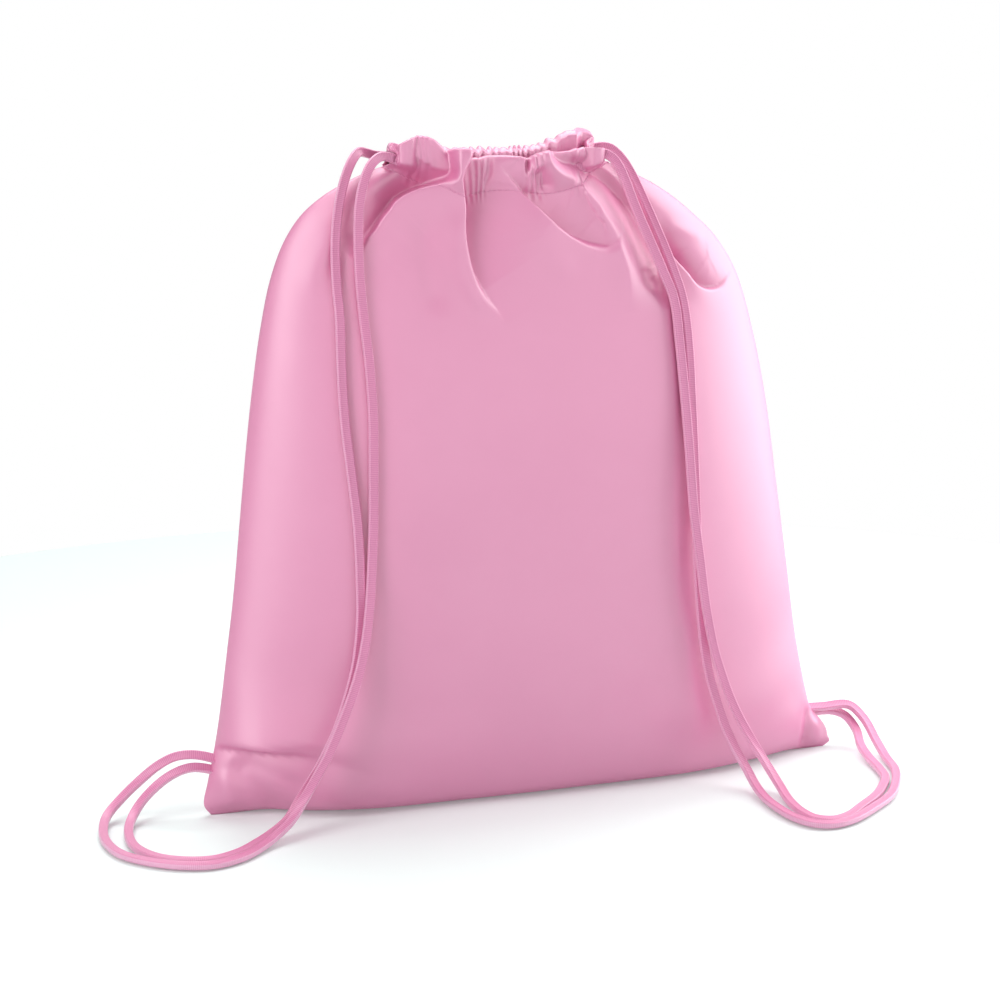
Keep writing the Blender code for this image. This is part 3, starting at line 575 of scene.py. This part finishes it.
def channel_inside(side, last_row, top, flat_z):
    """Rows over the channel's top and down its lining, to just above the stitches."""
    x, outer_y = last_row[:, 0], side * last_row[:, 1]
    if side < 0:
        inner_y = np.minimum(0.0030 + 0.40 * (outer_y - 0.0100), outer_y - 0.0040)
    else:
        inner_y = outer_y - BACK_LINING_GAP
    inner_y = np.maximum(LINING_LEAST, inner_y)
    rows = []
    for over in np.linspace(0.0, 1.0, 9)[1:]:
        y = outer_y + (inner_y - outer_y) * over
        z = top + 0.0002 * math.sin(math.pi * over ** 0.6) - LINING_DROP * over ** 2
        rows.append(np.stack([x, side * y, z], axis=1))
    for down in np.linspace(0.0, 1.0, 10)[1:]:
        z = top - LINING_DROP + (flat_z - top + LINING_END) * down
        rows.append(np.stack([x, side * inner_y, z], axis=1))
    return rows


def cloth_panel(name, side, neck, ruffles, folds):
    """One panel with its gathered channel, as a single sheet of cloth."""
    points, shares, across = smooth_panel(side)
    gathered = neck_curve(neck, across)
    pull = smooth_step((shares - GATHER_FROM) / GATHER_SPAN)[:, None, None]
    body = points + pull * (gathered[:, :3] - points[-1])[None]
    edge = body[-1].T.copy()
    # Folds die out at the side seams, where the two panels meet.
    held = 1 - np.abs(across) ** 10
    fine_pull = smooth_step((shares - RUFFLE_FROM) / RUFFLE_SPAN)[:, None]
    move = held[None, :, None] * folds(body[:, :, [0, 2]], shares[:, None])
    move[:, :, 1] += held * fine_pull * ruffle_heights(body[:, :, 0], body[:, :, 2], ruffles)
    body += move * np.array([1.0, side, 1.0])
    body[:, :, 1] = side * np.maximum(side * body[:, :, 1], CLOTH * held)
    top = gathered[:, 3] + TOP_RUFFLE * held * ruffle_heights(edge[0], gathered[:, 3], ruffles)
    rows = channel_outside(side, across, edge, top, held, ruffles, folds)
    rows += channel_inside(side, rows[-1], top, edge[2])
    grid = np.concatenate([body, np.array(rows)])
    count, columns = grid.shape[:2]
    sheet = add_mesh(name, grid.reshape(-1, 3), grid_faces(count, columns, flip=side > 0), SATIN)
    thick = sheet.modifiers.new("cloth", "SOLIDIFY")
    thick.thickness = CLOTH
    thick.offset = -1.0
    return sheet, grid, len(shares) - 1


# Tucked folds of the front, as paths (x, z). The cloth rolls up on the left of each.
LEFT_TUCK = [
    (-0.0545, 0.3900), (-0.0548, 0.3807), (-0.0554, 0.3745), (-0.0561, 0.3675), (-0.0585, 0.3650),
    (-0.0615, 0.3635), (-0.0664, 0.3610), (-0.0774, 0.3570), (-0.0847, 0.3529), (-0.0891, 0.3486),
    (-0.0948, 0.3437), (-0.0991, 0.3388), (-0.1048, 0.3340), (-0.1130, 0.3230),
]
ROLL_EDGE = [
    (-0.0279, 0.2842), (-0.0315, 0.2908), (-0.0367, 0.2976), (-0.0425, 0.3081), (-0.0468, 0.3208),
    (-0.0482, 0.3308), (-0.0482, 0.3398), (-0.0466, 0.3523), (-0.0463, 0.3654), (-0.0455, 0.3692),
    (-0.0430, 0.3735), (-0.0405, 0.3790), (-0.0400, 0.3900),
]
LOBE_EDGE = [
    (0.0500, 0.3420), (0.0490, 0.3340), (0.0440, 0.3265), (0.0385, 0.3243), (0.0326, 0.3252),
    (0.0242, 0.3273), (0.0144, 0.3320), (0.0052, 0.3387), (-0.0023, 0.3466), (-0.0102, 0.3556),
    (-0.0175, 0.3645), (-0.0210, 0.3678), (-0.0235, 0.3720),
]
RIGHT_CREASE = [
    (0.0723, 0.2860), (0.0722, 0.3027), (0.0711, 0.3127), (0.0687, 0.3206), (0.0642, 0.3318),
    (0.0609, 0.3390), (0.0540, 0.3477), (0.0470, 0.3559), (0.0395, 0.3614), (0.0300, 0.3668),
    (0.0254, 0.3692), (0.0150, 0.3720), (0.0105, 0.3758), (0.0085, 0.3830),
]
POCKET_EDGE = [
    (0.1208, 0.3009), (0.1146, 0.2965), (0.1047, 0.2952), (0.0947, 0.2991), (0.0898, 0.3054),
    (0.0835, 0.3131), (0.0811, 0.3198), (0.0782, 0.3268),
]
CORNER_TUCK = [
    (-0.1935, 0.0405), (-0.1860, 0.0412), (-0.1720, 0.0405), (-0.1520, 0.0395), (-0.1280, 0.0340),
    (-0.1050, 0.0240),
]
# Soft folds of the front: path, height, width, and some with their own start and end.
NECK_WAVES = [
    # Over the pocket, beside the crease and below the channel's right end.
    ([(0.0768, 0.3343), (0.0925, 0.3291), (0.1093, 0.3230)], 0.0012, 0.0040),
    ([(0.0636, 0.3111), (0.0641, 0.3031), (0.0709, 0.2989)], -0.0018, 0.0035),
    ([(0.0160, 0.3765), (0.0303, 0.3750), (0.0450, 0.3668), (0.0555, 0.3536), (0.0650, 0.3379)],
     0.0020, 0.0034, 0.15, 0.5),
    # Creases that start in the channel.
    ([(-0.0057, 0.3800), (-0.0062, 0.3747), (-0.0069, 0.3701), (-0.0072, 0.3639)],
     -0.0045, 0.0014, 0.01, 0.5),
    ([(-0.0030, 0.3700), (0.0023, 0.3620), (0.0032, 0.3540)], -0.0038, 0.0048, 0.3, 0.3),
    ([(-0.0290, 0.3780), (-0.0296, 0.3680), (-0.0330, 0.3580)], -0.0018, 0.0018, 0.05, 0.4),
    # Waves beside the roll, down the middle lobe and over the left shoulder.
    ([(-0.0545, 0.3520), (-0.0565, 0.3350), (-0.0550, 0.3180), (-0.0480, 0.3020),
      (-0.0380, 0.2880)], 0.0016, 0.0050),
    ([(-0.0680, 0.3500), (-0.0720, 0.3300), (-0.0700, 0.3080), (-0.0640, 0.2880)], -0.0016, 0.0070),
    ([(-0.0120, 0.3520), (-0.0060, 0.3350), (0.0040, 0.3180), (0.0160, 0.3030)], 0.0014, 0.0080),
    ([(-0.0920, 0.3620), (-0.1080, 0.3450), (-0.1220, 0.3250), (-0.1300, 0.3000)], -0.0016, 0.0060),
    ([(-0.1000, 0.3540), (-0.1250, 0.3320), (-0.1420, 0.3020)], 0.0012, 0.0070),
]
CORNER_WAVES = [
    ([(-0.1880, 0.0370), (-0.1740, 0.0190), (-0.1600, 0.0060), (-0.1550, 0.0010)], -0.0045, 0.0075),
    ([(-0.1860, 0.0380), (-0.1640, 0.0270), (-0.1450, 0.0180)], -0.0016, 0.0050),
    ([(-0.1920, 0.0300), (-0.1900, 0.0160), (-0.1880, 0.0030)], 0.0022, 0.0060),
    ([(-0.1560, 0.0080), (-0.1200, 0.0070), (-0.0500, 0.0110)], 0.0030, 0.0170, 0.3, 0.6),
    ([(0.1815, 0.0300), (0.1800, 0.0210), (0.1790, 0.0110), (0.1790, 0.0010)], -0.0040, 0.0035),
    ([(0.1890, 0.0230), (0.1900, 0.0120), (0.1890, 0.0020)], 0.0025, 0.0045),
    ([(0.1800, 0.0480), (0.1560, 0.0380), (0.1200, 0.0180)], -0.0016, 0.0120),
]
# Pleats of the back: x at the stitches, x at the foot, length, height.
BACK_PLEATS = [
    (-0.074, -0.132, 0.060, 0.0040), (-0.060, -0.108, 0.085, 0.0055),
    (-0.046, -0.074, 0.070, 0.0045), (-0.032, -0.046, 0.100, 0.0055),
    (-0.018, -0.016, 0.065, 0.0045), (-0.004, 0.016, 0.095, 0.0055),
    (0.010, 0.044, 0.070, 0.0045), (0.024, 0.074, 0.085, 0.0050), (0.036, 0.100, 0.055, 0.0035),
]


def upper_part(share):
    """1 over the upper half of a panel, falling to 0 below it."""
    return smooth_step((share - 0.40) / 0.15)


def front_folds(xz, share):
    # Left of the roll the cloth tucks under it, and under a diagonal down to the left shoulder.
    height = fold_edge(xz, LEFT_TUCK, [0.0035, 0.0040, 0.0040, 0.0030, 0.0015, 0.0],
                       [0.0060, 0.0070, 0.0130, 0.0125, 0.0070, 0.0], 0.016, 0.013,
                       [0.0045, 0.0042, 0.0034, 0.0030, 0.0030, 0.0030],
                       [0.0005, 0.0015, 0.0052, 0.0055, 0.0030, 0.0])
    # The roll's right side drops into the gathers.
    height += fold_edge(xz, ROLL_EDGE, [0.0, 0.0008, 0.0028, 0.0042, 0.0045, 0.0040],
                        [0.0, 0.0016, 0.0068, 0.0112, 0.0115, 0.0085], 0.015, 0.024,
                        [0.0040, 0.0040, 0.0040, 0.0045, 0.0055, 0.0055],
                        [0.0, 0.0010, 0.0030, 0.0035, 0.0030, 0.0015])
    # The middle lobe's edge over the hollow right of it.
    height += fold_edge(xz, LOBE_EDGE, [0.0, 0.0006, 0.0018, 0.0030, 0.0012, 0.0],
                        [0.0, 0.0022, 0.0055, 0.0080, 0.0045, 0.0], 0.014, 0.022,
                        [0.0060, 0.0050, 0.0036, 0.0030],
                        [0.0, 0.0005, 0.0025, 0.0035, 0.0015, 0.0])
    # The right lobe falls back to a crease that runs from the hem to the right shoulder.
    height += fold_edge(xz, RIGHT_CREASE, [0.0, 0.0030, 0.0040, 0.0040, 0.0030, 0.0030],
                        [0.0, 0.0080, 0.0110, 0.0105, 0.0085, 0.0045], 0.010, 0.012,
                        [0.022, 0.022, 0.020, 0.016, 0.009, 0.004], slant=True)
    # A pocket right of the straps.
    height += fold_edge(xz, POCKET_EDGE, [0.0, 0.0010, 0.0020, 0.0020, 0.0010],
                        [0.0010, 0.0050, 0.0095, 0.0115, 0.0040], 0.010, 0.009, [0.0025],
                        [0.0, 0.0010, 0.0025, 0.0025, 0.0])
    for wave in NECK_WAVES:
        height += soft_fold(xz, *wave)
    height = upper_part(share)[..., None] * height
    # Bottom corners: the cloth is pinched where the cords are sewn in.
    low = fold_edge(xz, CORNER_TUCK, [0.0030, 0.0040, 0.0030, 0.0014, 0.0004, 0.0],
                    [0.0050, 0.0070, 0.0048, 0.0020, 0.0006, 0.0], 0.014, 0.012, [0.0060],
                    [0.0010, 0.0020, 0.0020, 0.0010, 0.0, 0.0], crisp=0.8)
    for wave in CORNER_WAVES:
        low += soft_fold(xz, *wave)
    height += smooth_step((0.30 - share) / 0.12)[..., None] * low
    # A faint unevenness all over.
    x, z = xz[..., 0], xz[..., 1]
    height[..., 1] += 0.0006 * np.sin(31 * x + 17 * z + 0.7) + 0.0005 * np.sin(23 * z - 41 * x)
    return height


def back_folds(xz, share):
    height = np.zeros(xz.shape[:-1] + (3,))
    for top, foot, reach, high in BACK_PLEATS:
        middle = (top + (foot - top) * 0.35, 0.358 - reach * 0.45)
        height += fold_edge(xz, [(top, 0.362), middle, (foot, 0.358 - reach)],
                            [0.2 * high, 0.6 * high, 0.4 * high, 0.0],
                            [0.3 * high, high, 0.5 * high, 0.0], 0.010, 0.010, [0.0060], crisp=0.9)
    return upper_part(share)[..., None] * height


front, front_grid, stitch_row = cloth_panel("front_cloth", -1, FRONT_NECK, FRONT_RUFFLES,
                                            front_folds)
back, back_grid, _ = cloth_panel("back_cloth", 1, BACK_NECK, BACK_RUFFLES, back_folds)


# Seams: the turned-in cloth, its thread and the tacks

def thread(name, line, node):
    """A sewing thread along closely spaced points, as one closed tube."""
    tangent = unit_tangents(line)
    side = np.cross(tangent, np.array([0.31, 0.87, 0.38]))
    side /= np.linalg.norm(side, axis=1)[:, None]
    other = np.cross(tangent, side)
    turns = np.linspace(0.0, 2 * math.pi, THREAD_SIDES, endpoint=False)[None, :, None]
    rings = line[:, None] + THREAD_RADIUS * (np.cos(turns) * side[:, None]
                                             + np.sin(turns) * other[:, None])
    piece = add_mesh(name, rings.reshape(-1, 3), tube_faces(len(line), THREAD_SIDES), THREAD)
    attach(piece, "bag")
    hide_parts(node)


def sewn_line(points, outward):
    """A thread's line over points on the cloth: it lies on them, and dives in at each stitch."""
    line = resampled(points, THREAD_STEP)
    dive = 0.5 + 0.5 * np.cos(2 * np.pi * reach_along(line) / STITCH_PITCH)
    return line + np.array(outward) * (STITCH_LIFT - STITCH_DIP * dive ** 6)[:, None]


def seam_strip(name, outline, inward, node):
    """The allowance of a seam, turned inside: a strip of doubled cloth, and its thread's line."""
    points = at_shares(spline(outline), np.linspace(0.0, 1.0, ALLOWANCE_ROWS))
    tangent = unit_tangents(points)
    across = np.stack([-tangent[:, 1], tangent[:, 0]], axis=1) * inward

    def beside(off, y):
        return np.stack([points[:, 0] + across[:, 0] * off, np.full(len(points), y),
                         points[:, 1] + across[:, 1] * off], axis=1)

    rings = np.stack([beside(off, y) for off, y in ALLOWANCE_SECTION], axis=1)
    faces = tube_faces(ALLOWANCE_ROWS, len(ALLOWANCE_SECTION))
    strip = add_mesh(name, rings.reshape(-1, 3), faces, SATIN, smooth=False)
    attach(strip, "bag")
    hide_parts(node)
    return strip, beside(*ALLOWANCE_THREAD)


def bar_tack(name, middle, width, height, node, passes=9):
    """A dense zigzag of thread."""
    line = []
    for k in range(passes):
        z = middle[2] + height * (k / (passes - 1) - 0.5)
        side = 1 if k % 2 else -1
        for share in np.linspace(-1.0, 1.0, 9):
            line.append((middle[0] + side * share * width / 2,
                         middle[1] - TACK_ARCH * (1 - share ** 6), z))
    thread(name, resampled(np.array(line), THREAD_STEP), node)


thread("front_channel_thread", sewn_line(front_grid[stitch_row, 4:-4], (0.0, -1.0, 0.0)),
       "front_channel_stitching")
thread("back_channel_thread", sewn_line(back_grid[stitch_row, 4:-4], (0.0, 1.0, 0.0)),
       "back_channel_stitching")
BOTTOM_SEAM = [(-0.1900, 0.0), (-0.1000, 0.0), (0.0, 0.0), (0.1000, 0.0), (0.1900, 0.0)]
SEAMS = [("left_side", LEFT_SEAM[2:-1], -1), ("right_side", RIGHT_SEAM[2:-2], 1),
         ("bottom", BOTTOM_SEAM, 1)]
strips = []
for name, outline, inward in SEAMS:
    strip, stitched = seam_strip(name + "_allowance", outline, inward, name + "_seam")
    strips.append(strip)
    thread_name = name.replace("_side", "") + "_seam_thread"
    thread(thread_name, sewn_line(stitched, (0.0, -1.0, 0.0)),
           thread_name.replace("thread", "stitching"))
bar_tack("left_corner_tack", (-0.1890, 0.0, 0.0285), 0.0030, 0.0120, "left_cord_anchor")
bar_tack("right_corner_tack", (0.1815, 0.0, 0.0230), 0.0030, 0.0120, "right_cord_anchor")
bar_tack("left_slot_tack", (-0.0888, 0.0, 0.3702), 0.0012, 0.0026, "left_vent_tack", 6)
bar_tack("right_slot_tack", (0.0488, 0.0, 0.3676), 0.0012, 0.0026, "right_vent_tack", 6)

for thing, nodes, others in ((front, ("front_panel", "front_channel"), strips),
                             (back, ("back_panel", "back_channel"), [])):
    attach(thing, "bag")
    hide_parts(*nodes)


# Cords

def cord_profile():
    """Section of the cord, (across, up) in metres: a flat middle between two rolled edges."""
    outline = []
    for turn in np.linspace(0.0, 2 * math.pi, 28, endpoint=False):
        c, s = math.cos(turn), math.sin(turn)
        across = CORD_WIDTH / 2 * math.copysign(abs(c) ** 0.8, c)
        up = CORD_THICK / 2 * math.copysign(abs(s) ** 0.6, s)
        middle = 1 - smooth_step((abs(c) - 0.30) / 0.45)
        outline.append((across, up * (1 - 0.30 * middle)))
    return np.array(outline)


def make_cord(name, route):
    """A cord along a route, its flat side lying on the bag and on the floor."""
    line = resampled(spline(route), CORD_STEP)
    tangent = unit_tangents(line)
    on_floor = smooth_step((0.05 - line[:, 2]) / 0.045)[:, None]
    facing = (1 - on_floor) * np.array([0.0, -1.0, 0.15]) + on_floor * np.array([0.0, -0.15, 1.0])
    facing -= (facing * tangent).sum(axis=1)[:, None] * tangent
    facing /= np.linalg.norm(facing, axis=1)[:, None]
    wide = np.cross(tangent, facing)
    section = cord_profile()
    rings = (line[:, None] + section[None, :, :1] * wide[:, None]
             + section[None, :, 1:] * facing[:, None])
    around = len(section)
    cord = add_mesh(name, rings.reshape(-1, 3), tube_faces(len(line), around), CORD)
    # U goes round the cord and V is the length along it; the two end caps stay at 0.
    reach = reach_along(line)
    layer = cord.data.uv_layers.new(name="UVMap")
    values = np.zeros((len(cord.data.loops), 2), np.float32)
    for face in cord.data.polygons[:-2]:
        ring, turn = divmod(face.index, around)
        for loop, (step, on) in zip(face.loop_indices, ((0, 0), (1, 0), (1, 1), (0, 1))):
            values[loop] = ((turn + step) / around, reach[ring + on])
    layer.data.foreach_set("uv", values.ravel())
    return cord, line


# Each strap cord's last stretch, inside the bottom corner where it is sewn in.
LEFT_FRONT_TAIL = [(-0.1960, 0.0, 0.0345), (-0.1905, 0.0, 0.0318)]
LEFT_BACK_TAIL = [(-0.1965, 0.0, 0.0275), (-0.1905, 0.0, 0.0250)]
RIGHT_FRONT_TAIL = [(0.2055, 0.0030, 0.0208), (0.1985, 0.0045, 0.0215), (0.1910, 0.0035, 0.0215),
                    (0.1835, 0.0, 0.0212)]
RIGHT_BACK_TAIL = [(0.1960, 0.0, 0.0255), (0.1890, 0.0, 0.0258), (0.1835, 0.0, 0.0260)]
CORDS = [
    ("left_front_cord", LEFT_FRONT_ROUTE + LEFT_FRONT_TAIL,
     "left_strap", "left_cord_front_strap"),
    ("left_back_cord", LEFT_BACK_ROUTE + LEFT_BACK_TAIL,
     "left_strap", "left_cord_back_strap"),
    ("right_front_cord", RIGHT_FRONT_ROUTE + RIGHT_FRONT_TAIL,
     "right_strap", "right_cord_front_strap"),
    ("right_back_cord", RIGHT_BACK_ROUTE + RIGHT_BACK_TAIL,
     "right_strap", "right_cord_back_strap"),
]
for name, route, body, node in CORDS:
    cord, line = make_cord(name, route)
    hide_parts(node)
    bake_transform(cord)

# The cords' runs through the gathered channels, with the turn from the front one into the back one.
LEFT_RUN = [
    (-0.0845, -0.0085, 0.3767), (-0.0780, -0.0070, 0.3742), (-0.0670, -0.0038, 0.3705),
    (-0.0520, -0.0050, 0.3655), (-0.0370, -0.0052, 0.3632), (-0.0200, -0.0075, 0.3628),
    (-0.0050, -0.0080, 0.3630), (0.0100, -0.0080, 0.3645), (0.0220, -0.0070, 0.3665),
    (0.0330, -0.0060, 0.3685), (0.0385, 0.0000, 0.3695), (0.0330, 0.0070, 0.3685),
    (0.0200, 0.0110, 0.3660), (0.0000, 0.0138, 0.3635), (-0.0200, 0.0148, 0.3628),
    (-0.0400, 0.0146, 0.3640), (-0.0600, 0.0128, 0.3690), (-0.0740, 0.0098, 0.3732),
    (-0.0845, 0.0085, 0.3767),
]
RIGHT_RUN = [
    (0.0376, -0.0085, 0.3752), (0.0310, -0.0070, 0.3738), (0.0200, -0.0046, 0.3716),
    (0.0050, -0.0060, 0.3700), (-0.0100, -0.0085, 0.3690), (-0.0250, -0.0072, 0.3688),
    (-0.0400, -0.0052, 0.3697), (-0.0520, -0.0050, 0.3720), (-0.0640, -0.0042, 0.3755),
    (-0.0740, -0.0052, 0.3792), (-0.0800, -0.0060, 0.3815), (-0.0830, 0.0000, 0.3824),
    (-0.0800, 0.0062, 0.3812), (-0.0700, 0.0105, 0.3770), (-0.0500, 0.0140, 0.3715),
    (-0.0250, 0.0148, 0.3688), (0.0000, 0.0138, 0.3697), (0.0200, 0.0110, 0.3722),
    (0.0405, 0.0085, 0.3758),
]
for name, route, node in (("left_cord_run", LEFT_RUN, "left_cord_channel_run"),
                          ("right_cord_run", RIGHT_RUN, "right_cord_channel_run")):
    run, _ = make_cord(name, route)
    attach(run, "bag")
    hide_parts(node)


# Stage, light and camera

def mix_for_camera(tree, seen, other, output):
    """Join two shaders: one that the camera and its reflections see, one for all other light."""
    nodes, links = tree.nodes, tree.links
    path = nodes.new("ShaderNodeLightPath")
    either = nodes.new("ShaderNodeMath")
    either.operation = "MAXIMUM"
    any_of = nodes.new("ShaderNodeMath")
    any_of.operation = "MAXIMUM"
    mix = nodes.new("ShaderNodeMixShader")
    links.new(path.outputs["Is Camera Ray"], either.inputs[0])
    links.new(path.outputs["Is Glossy Ray"], either.inputs[1])
    links.new(either.outputs[0], any_of.inputs[0])
    links.new(path.outputs["Is Transmission Ray"], any_of.inputs[1])
    links.new(any_of.outputs[0], mix.inputs["Fac"])
    links.new(other, mix.inputs[1])
    links.new(seen, mix.inputs[2])
    links.new(mix.outputs[0], output)


def stage():
    material, tree, shader = new_material("floor")
    nodes, links = tree.nodes, tree.links
    shader.inputs["Base Color"].default_value = (0.78, 0.885, 0.855, 1)
    shader.inputs["Roughness"].default_value = 0.8
    shader.inputs["Specular IOR Level"].default_value = 0.1
    glow = nodes.new("ShaderNodeEmission")
    glow.inputs["Color"].default_value = (1.0, 1.0, 1.0, 1)
    glow.inputs["Strength"].default_value = 0.165
    both = nodes.new("ShaderNodeAddShader")
    links.new(shader.outputs[0], both.inputs[0])
    links.new(glow.outputs[0], both.inputs[1])
    surface = nodes["Material Output"].inputs["Surface"]
    mix_for_camera(tree, both.outputs[0], shader.outputs[0], surface)
    bpy.ops.mesh.primitive_circle_add(vertices=128, radius=0.75, fill_type="NGON",
                                      location=(0.0, -0.05, -0.0001))
    floor = bpy.context.object
    floor.name = "floor"
    floor.data.materials.append(material)


# Area lamps: name, place, the point they face, size, watts.
LAMPS = [
    ("right", (0.665, -0.05, 0.45), (0.10, -0.02, 0.20), (0.75, 0.92), 6.8),
    ("left", (-0.70, -0.34, 0.56), (-0.14, -0.03, 0.20), (0.40, 1.20), 4.5),
    ("front", (0.3, -2.3, 0.5), (0.0, 0.0, 0.18), (2.6, 1.5), 12.0),
    ("top", (0.1, 0.70, 1.8), (0.0, 0.0, 0.18), (1.2, 1.2), 24.0),
]


def add_light(name, place, target, size, power):
    data = bpy.data.lights.new(name, "AREA")
    data.shape = "RECTANGLE"
    data.size, data.size_y = size
    data.energy = power
    light = bpy.data.objects.new(name, data)
    light.location = place
    light.rotation_mode = "QUATERNION"
    light.rotation_quaternion = (Vector(target) - Vector(place)).to_track_quat("-Z", "Y")
    bpy.context.scene.collection.objects.link(light)


def light_scene():
    world = bpy.data.worlds.new("studio")
    world.use_nodes = True
    bpy.context.scene.world = world
    tree = world.node_tree
    fill = tree.nodes["Background"]
    fill.inputs["Color"].default_value = (1.0, 1.0, 1.0, 1)
    fill.inputs["Strength"].default_value = 0.12
    white = tree.nodes.new("ShaderNodeBackground")
    white.inputs["Color"].default_value = (1.0, 1.0, 1.0, 1)
    white.inputs["Strength"].default_value = 1.0
    surface = tree.nodes["World Output"].inputs["Surface"]
    mix_for_camera(tree, white.outputs[0], fill.outputs[0], surface)
    for lamp in LAMPS:
        add_light(*lamp)


def add_camera():
    turn, tilt = math.radians(CAMERA_AZIMUTH), math.radians(CAMERA_ELEVATION)
    away = Vector((math.sin(turn) * math.cos(tilt), -math.cos(turn) * math.cos(tilt),
                   math.sin(tilt)))
    data = bpy.data.cameras.new("camera")
    data.lens = CAMERA_LENS
    data.sensor_width = CAMERA_SENSOR
    camera = bpy.data.objects.new("camera", data)
    camera.location = Vector(CAMERA_TARGET) + CAMERA_DISTANCE * away
    camera.rotation_mode = "QUATERNION"
    camera.rotation_quaternion = (-away).to_track_quat("-Z", "Y")
    bpy.context.scene.collection.objects.link(camera)
    bpy.context.scene.camera = camera


stage()
light_scene()
add_camera()
bpy.context.scene.view_settings.view_transform = "Standard"
